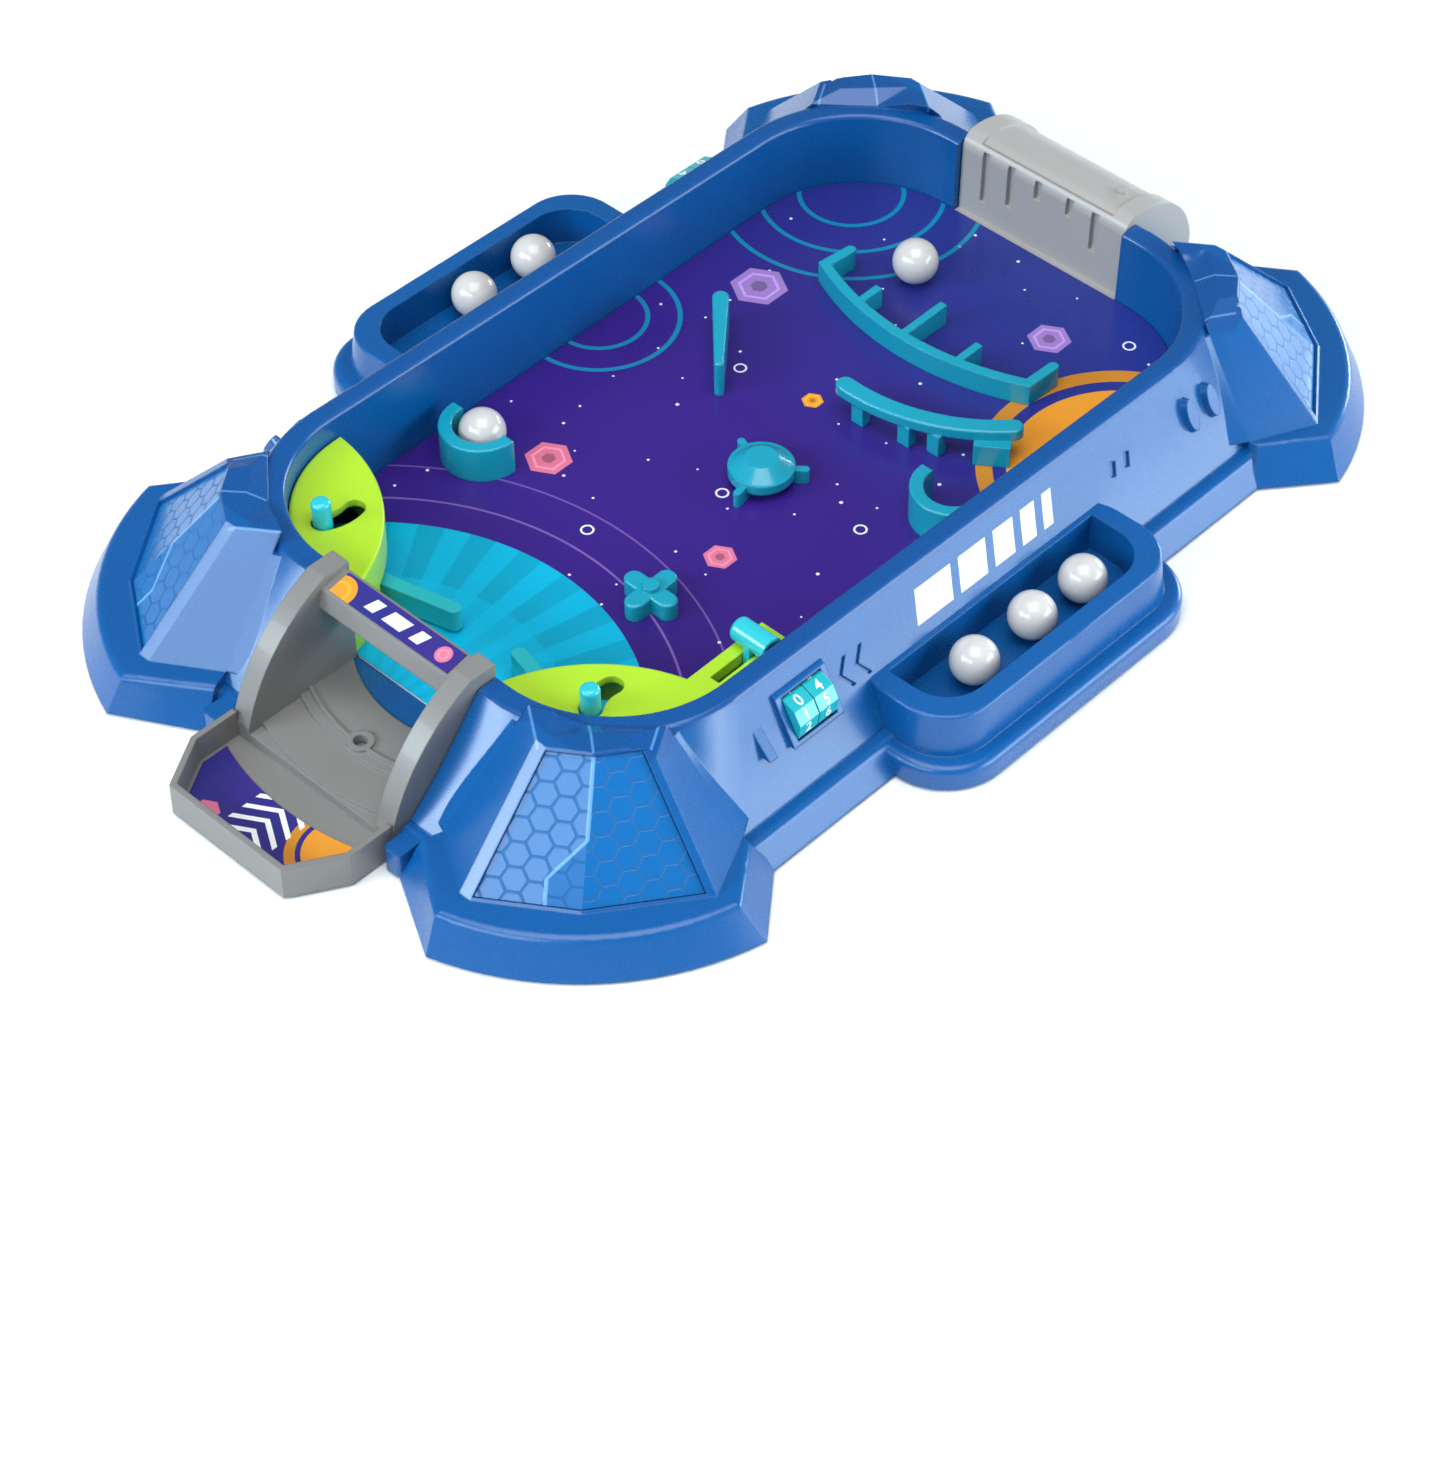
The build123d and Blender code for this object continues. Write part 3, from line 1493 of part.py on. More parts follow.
with BuildPart() as chute_screw:
    with Locations((*chute_screw_at, chute_screw_seat)):
        Cylinder(chute_screw_head, screw_head_height, align=lower)
    with Locations((*chute_screw_at, stand_off)):
        Cylinder(screw_radius, chute_screw_seat - stand_off, align=lower)
finish_part(chute_screw, "chute_screw")

# Labels on the chute's cross bar and in the catch tray
bar_far = Vector(0, *bar_outline[0])
bar_near = Vector(0, *bar_outline[1])
bar_top = Plane(
    origin=tuple((bar_far + bar_near) / 2),
    x_dir=(1, 0, 0),
    z_dir=tuple(Vector(1, 0, 0).cross(bar_far - bar_near)),
)
with BuildPart() as chute_bar_label:
    with BuildSketch(bar_top):
        Rectangle(*bar_label_size)
    extrude(amount=label_thickness)
finish_part(chute_bar_label, "chute_bar_label")

with BuildPart() as chute_tray_label:
    with BuildSketch(Plane.XY.offset(tray_floor)):
        add(tray_inside(tray_wall + tray_label_margin, 0).face())
        with Locations(chute_arc_centre):
            Circle(tray_label_radius, mode=Mode.SUBTRACT)
    extrude(amount=label_thickness)
finish_part(chute_tray_label, "chute_tray_label")


def far_dome(inset, x):
    """Side view of the far end panel above its seat at x, drawn in by inset."""
    with BuildSketch(Plane.YZ.offset(x)) as outline:
        with BuildLine():
            front = Line((far_face, far_floor), (far_face, far_shoulder))
            brow = ThreePointArc(front @ 1, far_crown_front, far_crown)
            back = ThreePointArc(brow @ 1, far_back_middle, far_back_end)
            Polyline(back @ 1, (far_back_end[0], far_floor), front @ 0)
        make_face()
        if inset:
            offset(amount=-inset, kind=Kind.INTERSECTION, mode=Mode.REPLACE)
    return outline.sketch


# Band taken off the far end panel's crown between its collars
far_middle_half = far_half_width - far_collar
with BuildPart() as far_band:
    extrude(far_dome(0, -far_middle_half), amount=2 * far_middle_half)
    extrude(far_dome(far_relief, -far_middle_half), amount=2 * far_middle_half, mode=Mode.SUBTRACT)
    with Locations((0, far_crown_front[0], far_relief_foot)):
        Box(
            2 * far_half_width,
            far_back_end[0],
            rim_height,
            align=(Align.CENTER, Align.MIN, Align.MIN),
            mode=Mode.INTERSECT,
        )

# The far end panel, hollow and open below, with grooves down its inner face
far_inset = far_relief + far_wall
far_inside_half = far_half_width - far_wall
with BuildPart() as far_end_panel:
    extrude(far_dome(0, -far_half_width), amount=2 * far_half_width)
    with Locations((0, far_lip, far_floor)):
        Box(
            2 * far_half_width,
            far_face - far_lip + far_wall,
            far_lip_top - far_floor,
            align=(Align.CENTER, Align.MIN, Align.MIN),
        )
    with Locations((0, far_back_end[0], flange_height + slip)):
        Box(
            2 * far_half_width,
            far_foot_thickness,
            far_back_end[1] - flange_height - slip,
            align=(Align.CENTER, Align.MAX, Align.MIN),
        )
    add(far_band.part, mode=Mode.SUBTRACT)
    for x, foot in zip(groove_places, groove_feet):
        with Locations((x, far_face, foot)):
            Box(
                groove_width,
                2 * groove_depth,
                groove_top - foot,
                align=(Align.CENTER, Align.CENTER, Align.MIN),
                mode=Mode.SUBTRACT,
            )
    with Locations((*nub_at, far_crown[1] - 2 * far_relief)):
        Cylinder(nub_radius, nub_height, align=lower)
    extrude(
        far_dome(far_inset, -far_inside_half), amount=2 * far_inside_half, mode=Mode.SUBTRACT
    )
    with Locations((0, far_face + far_inset, far_floor)):
        Box(
            2 * far_inside_half,
            far_back_end[0] - far_face - 2 * far_inset,
            2 * far_inset,
            align=(Align.CENTER, Align.MIN, Align.MIN),
            mode=Mode.SUBTRACT,
        )
finish_part(far_end_panel, "far_end_panel")

# The loose balls
rest_height = ball_radius + ball_rest_gap
ball_places = {
    "ball_on_field": tuple(field.from_local_coords((*field_ball_at, rest_height))),
    "ball_in_cup": tuple(field.from_local_coords((*cup_ball_at, rest_height))),
}
for side, places in (("right", right_tray_balls), ("left", left_tray_balls)):
    for i, place in enumerate(places, start=1):
        ball_places[f"{side}_tray_ball_{i}"] = (*place, pocket_floor + rest_height)
for name, place in ball_places.items():
    with BuildPart() as ball:
        with Locations(place):
            Sphere(ball_radius)
    finish_part(ball, name)
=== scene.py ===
from math import cos, pi, radians, sin, sqrt

import bpy
import numpy as np
from bpy.props import FloatProperty, FloatVectorProperty, PointerProperty
from mathutils import Matrix, Vector


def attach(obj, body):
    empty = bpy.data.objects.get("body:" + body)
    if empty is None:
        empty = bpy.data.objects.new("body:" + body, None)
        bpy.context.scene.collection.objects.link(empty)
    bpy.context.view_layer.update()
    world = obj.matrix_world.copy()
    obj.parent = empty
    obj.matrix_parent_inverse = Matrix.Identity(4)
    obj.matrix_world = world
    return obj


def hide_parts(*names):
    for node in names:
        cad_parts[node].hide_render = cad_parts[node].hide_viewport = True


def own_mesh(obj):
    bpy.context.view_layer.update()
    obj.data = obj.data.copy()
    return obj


bl_info = {
    "name": "Tabletop pinball game",
    "version": (1, 0, 0),
    "blender": (4, 5, 0),
    "location": "3D View > Sidebar > Pinball",
    "description": "Dresses the packed pinball game: finishes, printed sheet, wheel digits, springs and stage",
    "category": "Object",
}

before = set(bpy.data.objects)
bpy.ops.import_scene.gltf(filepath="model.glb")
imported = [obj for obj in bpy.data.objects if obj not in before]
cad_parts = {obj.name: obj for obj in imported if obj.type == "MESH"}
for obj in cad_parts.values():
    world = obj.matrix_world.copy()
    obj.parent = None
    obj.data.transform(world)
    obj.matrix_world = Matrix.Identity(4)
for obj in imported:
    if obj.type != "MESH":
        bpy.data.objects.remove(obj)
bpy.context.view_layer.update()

# Places and lengths are in millimetres unless a comment says otherwise. A place is given across the table,
# along it from the cabinet's middle, and up from it
millimetre = 0.001
# How far the cabinet's middle lies up the table from the origin
cabinet_middle = 6.0

# The playfield's slope, its height under the cabinet's middle, and the directions across it, up it and off it
field_slope = radians(1.35)
field_height = 11.5
sideways = np.array([1.0, 0.0, 0.0])
up_field = np.array([0.0, cos(field_slope), sin(field_slope)])
off_field = np.array([0.0, -sin(field_slope), cos(field_slope)])

# The band of painted shade round the rim: how far it reaches across and along, and the height of its lower
# edge
rim_reach = (84.5, 140.0)
rim_foot = 38.2
# Painted highlights on the creases over a collar, from their foot to their head, their half width and the
# height where they begin
collar_crease_highlights = (
    ((61.0, 145.2), (48.5, 136.2)),
    ((73.3, 136.8), (63.5, 128.7)),
    ((82.2, 124.5), (76.5, 115.0)),
)
crease_highlight_half = 0.35
crease_highlight_foot = 40.2
# Slanted stripes on a long wall: where the first begins, their widths, the gap after each, their lower and
# upper edges, their lean for each step up from a middle height, and how far across the wall begins
stripe_start = -26.0
stripe_widths = (15.0, 11.5, 8.5, 6.0, 4.0)
stripe_gap = 3.4
stripe_edges = (25.2, 33.8)
stripe_lean = 0.35
stripe_middle = 30.0
wall_reach = 82.0

# The far right corner panel in plan: its fold's top and foot, and the run of its two top edges. Then the
# height of its top, and the length of its slope for each step down
fold_top = Vector((73.3, 136.8))
fold_foot = Vector((91.05, 159.87))
end_run = Vector((12.3, -8.4)).normalized()
side_run = Vector((8.9, -12.3)).normalized()
panel_top = 43.5
panel_stretch = 1.36
# Where a honeycomb cell's raised part ends, from its middle as a share of its width, and the depth in metres
# of the lines between cells
cell_share = 0.445
cell_depth = 0.00012
# The stepped line: where down the slope it steps aside, how far, and half its width
step_span = (24.0, 35.0)
step_width = 10.0
line_half = 0.55

# Pool round the way out: its middle, radius and inner radius, the spokes in a full turn, and the thin lines
# round it, each with its radius, width and strength
pool_at = (-6.0, -152.0)
pool_radius = 82.0
pool_heart = 60.0
pool_spokes = 32
pool_lines = ((92.0, 0.7, 0.5), (106.0, 0.6, 0.4))
# Half rings from the right-hand wall: their middle, and the outer radius, inner radius and brightness of each
wall_rings_at = (84.0, 74.0)
wall_rings = ((44.0, 39.0, 0.75), (35.0, 22.0, 1.0), (18.0, 0.0, 1.25))
# Thin rings from the far left corner and the left-hand wall, with their middles and radii, and their width
thin_rings = (((-62.0, 116.0), (16.0, 29.0, 42.0)), ((-78.0, 18.0), (14.0, 24.0)))
thin_ring_width = 1.5
# Hexagons with their middle, their distance to a flat and their colour
hexagons = (
    ((-52.0, 62.0), 8.0, "lilac"),
    ((-44.0, -38.0), 6.4, "pink"),
    ((22.0, -34.0), 4.4, "pink"),
    ((30.0, 104.0), 6.0, "lilac"),
    ((62.0, -32.0), 3.6, "orange"),
    ((-4.0, 34.0), 3.0, "orange"),
)
# White hoops with their middles, and their inner and outer radius
hoops = ((-30.0, 30.0), (44.0, 2.0), (-18.0, 100.0), (-14.0, -52.0), (50.0, 118.0), (4.0, -14.0))
hoop_radii = (1.5, 2.1)
# Scattered dots: the cells of their net to the metre, the largest dot's share of a cell, its soft edge, and
# the share of the cells that stay empty
dot_net = 62.0
dot_share = 0.03
dot_edge = 0.012
dot_empty = 0.45

# The right-hand flipper's pivot, and its return spring's height over the sheet, length and turns
pivot_at = (63.5, -110.0)
return_spring_height = 9.6
return_spring_length = 4.5
return_spring_turns = 4
# The launcher spring's near end and height over the sheet, its length and its pitch
lane_spring_at = (70.2, -99.5, 5.2)
lane_spring_length = 19.0
lane_spring_pitch = 2.1

# The right-hand counter's axle, the angle up from level of the wheel flat that faces out of its window, and
# the angle from one flat to the next, in degrees
counter_at = (88.4, -73.0, 25.6)
wheel_turn = 30.0
flat_turn = 36.0
# Each wheel of a counter: its name, its place in pitches from the middle, and the digit that faces out
counter_wheels = (("near", -0.5, 1), ("far", 0.5, 5))
# A digit's height as a share of its type size, and how far its outline is swelled as a share of its height
digit_share = 0.7
digit_swell = 0.012

# Chute labels: the height that parts the bar's label from the tray's
label_split = 30.0
# The bar label's middle, and its white bars: pitch, width, lean, reach to each side and half height
bar_along = -138.0
bar_pitch = 7.0
bar_width = 3.6
bar_lean = 0.4
bar_reach = 13.2
bar_half = 2.0
# The bar label's pink disc and orange disc, each with its middle, radius and the edges of a paler ring
pink_disc = ((18.0, bar_along), 2.6, (1.1, 1.7))
orange_disc = ((-21.0, -140.5), 5.4, (2.6, 3.6))
# The tray label's rings, with their middle, and the outer radius, inner radius and brightness of each
tray_rings_at = (24.0, -182.0)
tray_rings = ((17.0, 14.0, 0.8), (12.5, 0.0, 1.0))
# The tray label's hexagon, with its middle and its distance to a flat
tray_hexagon = ((-15.0, -198.0), 3.6)
# The tray label's arrowheads: where they are counted from, pitch, width, slope, reach to each side and span
arrow_along = -190.0
arrow_pitch = 5.0
arrow_width = 1.8
arrow_slope = 0.6
arrow_reach = 9.0
arrow_span = (-199.0, -182.0)

# Textures in clouds to the metre: moulded plastic's clouds, grain and wear. Then the grain's depth in metres
# and the strength of its relief
cloud_scale = 22.0
grain_scale = 2600.0
wear_scale = 140.0
grain_depth = 0.00002
grain_strength = 0.2

# Lights: name, aim, spot and size in metres, power in watts, and tint
plain_white = (1.0, 1.0, 1.0)
cool_white = (0.76, 0.92, 1.0)
lights = (
    ("front_light", (0.0, -0.1, 0.0), (0.14, -1.34, 0.86), (1.15, 0.46), 11.0, cool_white),
    ("top_light", (0.0, 0.0, 0.0), (0.25, -0.25, 1.9), (1.6, 1.6), 30.0, plain_white),
    ("low_light", (0.0, -0.15, 0.02), (-0.72, -1.38, 0.72), (0.6, 0.5), 16.0, cool_white),
    ("right_light", (0.05, 0.0, 0.02), (1.55, 0.95, 0.45), (1.4, 0.95), 30.0, cool_white),
    ("back_light", (0.0, 0.0, 0.02), (0.12, 1.9, 0.22), (0.8, 0.42), 18.0, cool_white),
    ("side_light", (0.0, 0.0, 0.02), (1.75, 0.3, 0.22), (0.5, 0.4), 3.5, cool_white),
)
world_colour = (0.95, 0.97, 1.0, 1.0)
world_strength = 0.22
# Points along a side of the floor
floor_points = 13

# Camera: turn round the table from its near end, height above level and roll, the spot that it aims at in
# metres and the distance to it, then its focal length and the picture's height in pixels
camera_turn = radians(42.87)
camera_height = radians(45.79)
camera_roll = radians(0.68)
camera_aim = Vector((0.06266, -0.07696 + cabinet_middle * millimetre, 0.0))
camera_distance = 1.02244
camera_focus = 3666.54
picture_height = 1460.0
sensor_width = 36.0
camera_near = 0.05


def colour(name, text, default):
    """A colour that a user can change."""
    return FloatVectorProperty(
        name=name, description=text, default=default, subtype="COLOR", size=3, min=0.0, max=1.0
    )


def length(name, text, default):
    """A length in metres that a user can change."""
    return FloatProperty(name=name, description=text, default=default, min=0.0, unit="LENGTH", precision=5)


class PinballSizes(bpy.types.PropertyGroup):
    """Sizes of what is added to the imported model."""

    digit_height: length("Digit height", "Height of the digits on the score wheels", 0.0034)
    digit_lift: length("Digit lift", "How far the digits' ink stands off the wheel", 0.00004)
    wheel_reach: length("Wheel flats", "Distance of a score wheel's flats from its axle", 0.007038)
    wheel_pitch: length("Wheel pitch", "Distance between a counter's two wheels", 0.0079)
    coil_radius: length("Coil radius", "Mean radius of the flippers' return springs", 0.0024)
    coil_wire: length("Coil wire", "Radius of the return springs' wire", 0.00045)
    lane_coil_radius: length("Lane coil radius", "Mean radius of the launcher's spring", 0.0027)
    lane_coil_wire: length("Lane coil wire", "Radius of the launcher spring's wire", 0.0004)
    honeycomb: length("Honeycomb cell", "Width across the flats of a honeycomb cell", 0.0066)
    rounding: length("Edge rounding", "Radius that moulded edges catch the light with", 0.0007)
    floor_width: length("Floor width", "Side of the square floor", 6.0)


class PinballColours(bpy.types.PropertyGroup):
    """Colours of the game's plastics, prints and stage."""

    cabinet: colour("Cabinet", "Moulded cabinet", (0.002, 0.088, 0.3))
    # Rim: painted shade, a darker copy of the cabinet's blue for the band round the rim
    rim: colour("Rim", "Band round the top of the cabinet", (0.002, 0.07, 0.26))
    stripe: colour("Side stripes", "Slanted stripes on the long sides", (0.86, 0.88, 0.9))
    base: colour("Base", "Base plate", (0.012, 0.07, 0.26))
    panel: colour("Panel", "Corner panels", (0.0015, 0.115, 0.35))
    # Panel line: also the colour of the painted highlights on the collar creases
    panel_line: colour("Panel line", "Stepped line on the corner panels", (0.12, 0.32, 0.62))
    field: colour("Field", "Printed sheet, middle of the field", (0.036, 0.012, 0.2))
    field_far: colour("Field far", "Printed sheet, far end", (0.018, 0.03, 0.225))
    cyan: colour("Field cyan", "Printed sheet, round the way out", (0.0, 0.33, 0.52))
    orange: colour("Print orange", "Orange in the prints", (0.78, 0.3, 0.025))
    pink: colour("Print pink", "Pink in the prints", (0.68, 0.17, 0.27))
    lilac: colour("Print lilac", "Lilac in the prints", (0.32, 0.19, 0.5))
    ink: colour("Print white", "White in the prints and digits", (0.9, 0.92, 0.94))
    teal: colour("Teal", "Field pieces", (0.005, 0.3, 0.42))
    flipper: colour("Flippers", "Flippers and launcher", (0.02, 0.47, 0.54))
    wheel: colour("Wheels", "Score wheels", (0.012, 0.4, 0.45))
    green: colour("Green", "Flipper covers", (0.4, 0.66, 0.025))
    chute: colour("Chute", "Exit chute", (0.2, 0.192, 0.186))
    grey: colour("Grey", "Far end panel", (0.38, 0.36, 0.35))
    ball: colour("Balls", "Loose balls", (0.58, 0.55, 0.535))
    board: colour("Board", "Playfield board", (0.7, 0.72, 0.75))
    rubber: colour("Rubber", "Pads under the base", (0.03, 0.03, 0.032))
    steel: colour("Steel", "Screws, pins, axles and springs", (0.56, 0.57, 0.6))
    floor: colour("Floor", "Stage floor", (0.92, 0.92, 0.92))


class Value:
    """A number that changes over a surface: a node's output, with the usual arithmetic on it."""

    def __init__(self, finish, socket):
        self.finish = finish
        self.socket = socket

    def __add__(self, other):
        return self.finish.math("ADD", self, other)

    __radd__ = __add__

    def __sub__(self, other):
        return self.finish.math("SUBTRACT", self, other)

    def __rsub__(self, other):
        return self.finish.math("SUBTRACT", other, self)

    def __mul__(self, other):
        return self.finish.math("MULTIPLY", self, other)

    __rmul__ = __mul__

    def __truediv__(self, other):
        return self.finish.math("DIVIDE", self, other)

    def __pow__(self, other):
        return self.finish.math("POWER", self, other)

    def __mod__(self, other):
        return self.finish.math("FLOORED_MODULO", self, other)

    def __abs__(self):
        return self.finish.math("ABSOLUTE", self)

    def __lt__(self, other):
        return self.finish.math("LESS_THAN", self, other)

    def __gt__(self, other):
        return self.finish.math("GREATER_THAN", self, other)

    def most(self, other):
        """The larger of two numbers."""
        return self.finish.math("MAXIMUM", self, other)


class Finish:
    """A procedural material, and the nodes that are put into it."""

    def __init__(self, name, **even):
        self.material = bpy.data.materials.new(name)
        self.material.use_nodes = True
        self.tree = self.material.node_tree
        self.tree.nodes.clear()
        self.shader = self.tree.nodes.new("ShaderNodeBsdfPrincipled")
        output = self.tree.nodes.new("ShaderNodeOutputMaterial")
        self.tree.links.new(self.shader.outputs["BSDF"], output.inputs["Surface"])
        for socket, number in even.items():
            self.shader.inputs[socket.replace("_", " ")].default_value = number
        self.place = self.node("ShaderNodeTexCoord", out="Object")

    def feed(self, socket, value):
        """Link a value to a socket, or set the socket to a plain number or colour."""
        if isinstance(value, Value):
            self.tree.links.new(value.socket, socket)
        elif hasattr(value, "__len__") and len(value) == 3 and socket.type == "RGBA":
            socket.default_value = (*value, 1.0)
        else:
            socket.default_value = value

    def node(self, kind, settings=None, sockets=None, out=0):
        """Add a node of a kind, set it up, then feed its sockets. One of its outputs comes back."""
        made = self.tree.nodes.new(kind)
        for key, value in (settings or {}).items():
            setattr(made, key, value)
        for key, value in (sockets or {}).items():
            self.feed(made.inputs[key], value)
        return Value(self, made.outputs[out])

    def math(self, operation, *numbers):
        """One step of arithmetic."""
        return self.node("ShaderNodeMath", {"operation": operation}, dict(enumerate(numbers)))

    def millimetres(self):
        """Place on the object from the cabinet's middle: across, along the table and up."""
        scaled = self.node(
            "ShaderNodeVectorMath",
            {"operation": "MULTIPLY_ADD"},
            {0: self.place, 1: (1 / millimetre,) * 3, 2: (0, -cabinet_middle, 0)},
        )
        return [self.node("ShaderNodeSeparateXYZ", None, {0: scaled}, axis) for axis in "XYZ"]

    def noise(self, scale, detail=2.0, rough=0.5):
        """Cloudy noise from 0 to 1, with a scale in clouds to the metre."""
        return self.node(
            "ShaderNodeTexNoise",
            None,
            {"Vector": self.place, "Scale": scale, "Detail": detail, "Roughness": rough},
        )

    def moulding(self):
        """Moulded plastic's textures: clouds for its colour, then grain and wear for its gloss."""
        clouds = self.noise(cloud_scale, 3.0)
        grain = self.noise(grain_scale, 1.0)
        return clouds, grain, self.noise(wear_scale, 4.0, 0.7)

    def mix(self, share, first, second):
        """A blend of two colours, all of the second where the share is 1."""
        return self.node("ShaderNodeMix", {"data_type": "RGBA"}, {0: share, 6: first, 7: second}, 2)

    def below(self, value, limit, soft=0.12):
        """1 where a value lies under a limit and 0 above it, with a soft edge."""
        return self.node(
            "ShaderNodeMapRange",
            {"interpolation_type": "SMOOTHSTEP"},
            {0: value, 1: limit - soft, 2: limit + soft, 3: 1.0, 4: 0.0},
        )

    def ramp(self, value, low, high):
        """Straight rise from 0 to 1 as a value goes from low to high."""
        return self.node("ShaderNodeMapRange", None, {0: value, 1: low, 2: high, 3: 0.0, 4: 1.0})

    def between(self, value, low, high, soft=0.12):
        """1 where a value lies between two limits."""
        return self.below(value, high, soft) - self.below(value, low, soft)

    def round_edges(self, radius, *reliefs):
        """Edges that catch the light as if rounded, under reliefs, each with its depth and strength."""
        edges = self.node("ShaderNodeBevel", {"samples": 4}, {"Radius": radius})
        for height, depth, strength in reliefs:
            sockets = {"Strength": strength, "Distance": depth, "Height": height, "Normal": edges}
            edges = self.node("ShaderNodeBump", None, sockets)
        self.feed(self.shader.inputs["Normal"], edges)

    def paint(self, colour_value, roughness):
        """Set what the surface's colour and roughness come from."""
        self.feed(self.shader.inputs["Base Color"], colour_value)
        self.feed(self.shader.inputs["Roughness"], roughness)


def shade(tone, factor):
    """A colour made darker or lighter by a factor."""
    return tuple(min(1.0, part * factor) for part in tone)


def swing(texture, spread):
    """A texture from 0 to 1 made into a swing about nothing that is as wide as the spread."""
    return spread * (texture - 0.5)


def dress(finish, *names):
    """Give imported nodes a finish."""
    for name in names:
        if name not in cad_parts:
            raise RuntimeError(f"there is no node {name} to dress")
        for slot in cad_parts[name].material_slots:
            slot.material = finish.material


def moulded(name, tone, rounding, rough=0.3, **even):
    """Moulded plastic: clouds in the colour, a fine grain in the gloss, faint flow marks and round edges."""
    finish = Finish(name, **even)
    clouds, grain, worn = finish.moulding()
    clouded = finish.mix(clouds, shade(tone, 0.9), shade(tone, 1.1))
    finish.paint(clouded, rough + swing(grain, 0.06) + swing(worn, 0.03))
    finish.round_edges(rounding, (grain, grain_depth, grain_strength))
    return finish


def metal(name, tone, rounding):
    """Plated steel with drawn streaks in its gloss."""
    finish = Finish(name, Metallic=1.0)
    streaks = finish.noise(1500.0, 2.0)
    finish.paint(finish.mix(streaks, shade(tone, 0.85), shade(tone, 1.1)), 0.26 + 0.14 * streaks)
    finish.round_edges(rounding)
    return finish


def distance(across, along, spot):
    """Distance of a place from a spot in plan."""
    return ((across - spot[0]) ** 2 + (along - spot[1]) ** 2) ** 0.5


def along_line(across, along, start, way):
    """How far a place in plan lies along a line from its start."""
    return (across - start[0]) * way[0] + (along - start[1]) * way[1]


def off_line(across, along, start, way):
    """How far a place in plan lies off a line, to the right of its way."""
    return (across - start[0]) * way[1] - (along - start[1]) * way[0]


def hexagon(across, along, spot):
    """Distance from a spot measured to the flats of a hexagon: the larger of its three widths."""
    wide = abs(across - spot[0])
    long = abs(along - spot[1])
    return wide.most(wide * 0.5 + long * (sqrt(3) / 2))


def honeycomb(first_way, second_way, cell):
    """Distance from the nearer of two rows of cell middles to that cell's flats, as a share of its width."""
    wide = cell * sqrt(3)
    first_u = (first_way % wide) - wide / 2
    first_v = (second_way % cell) - cell / 2
    second_u = ((first_way + wide / 2) % wide) - wide / 2
    second_v = ((second_way + cell / 2) % cell) - cell / 2
    nearer = (first_u ** 2 + first_v ** 2) < (second_u ** 2 + second_v ** 2)
    cell_u = abs(second_u + nearer * (first_u - second_u))
    cell_v = abs(second_v + nearer * (first_v - second_v))
    return cell_v.most(0.5 * cell_v + (sqrt(3) / 2) * cell_u) / cell


def mesh_object(name, points, faces, smooth=True):
    """A new object at the origin from points in metres and faces as lists of point numbers."""
    mesh = bpy.data.meshes.new(name)
    mesh.from_pydata(points.tolist(), [], faces)
    mesh.polygons.foreach_set("use_smooth", np.full(len(mesh.polygons), smooth))
    mesh.update()
    made = bpy.data.objects.new(name, mesh)
    bpy.context.scene.collection.objects.link(made)
    return made


def grid_faces(rows, columns, closed):
    """Four-sided faces of a grid of points counted row by row, closed across its columns if asked."""
    runs = columns if closed else columns - 1
    row, column = np.meshgrid(np.arange(rows - 1), np.arange(runs), indexing="ij")
    here = row * columns + column
    beside = row * columns + (column + 1) % columns
    return np.stack([here, beside, beside + columns, here + columns], -1).reshape(-1, 4)


def on_field(across, along, height):
    """Place in metres of a point given in millimetres across, up and above the playfield."""
    return Vector(
        (
            across,
            along * cos(field_slope) - height * sin(field_slope) + cabinet_middle,
            field_height + along * sin(field_slope) + height * cos(field_slope),
        )
    ) * millimetre


def coil(name, foot, axes, rise, radius, wire, turns):
    """A wound spring: a circle of wire carried along a helix from its foot, about the third axis."""
    steps = round(28 * turns) + 1
    wire_points = 10
    share = np.linspace(0.0, 1.0, steps)
    angle = 2 * pi * turns * share
    turn = np.linspace(0.0, 2 * pi, wire_points, endpoint=False)
    out = np.stack([np.cos(angle), np.sin(angle), np.zeros(steps)], -1)
    middle = radius * out + np.stack([np.zeros(steps), np.zeros(steps), rise * share], -1)
    upward = np.array([0.0, 0.0, 1.0])
    ring = np.cos(turn)[None, :, None] * out[:, None, :] + np.sin(turn)[None, :, None] * upward
    points = (middle[:, None, :] + wire * ring).reshape(-1, 3) @ np.array(axes) + np.array(foot)
    ends = np.arange(wire_points)
    caps = [ends.tolist(), (ends[::-1] + (steps - 1) * wire_points).tolist()]
    return mesh_object(name, points, grid_faces(steps, wire_points, True).tolist() + caps)


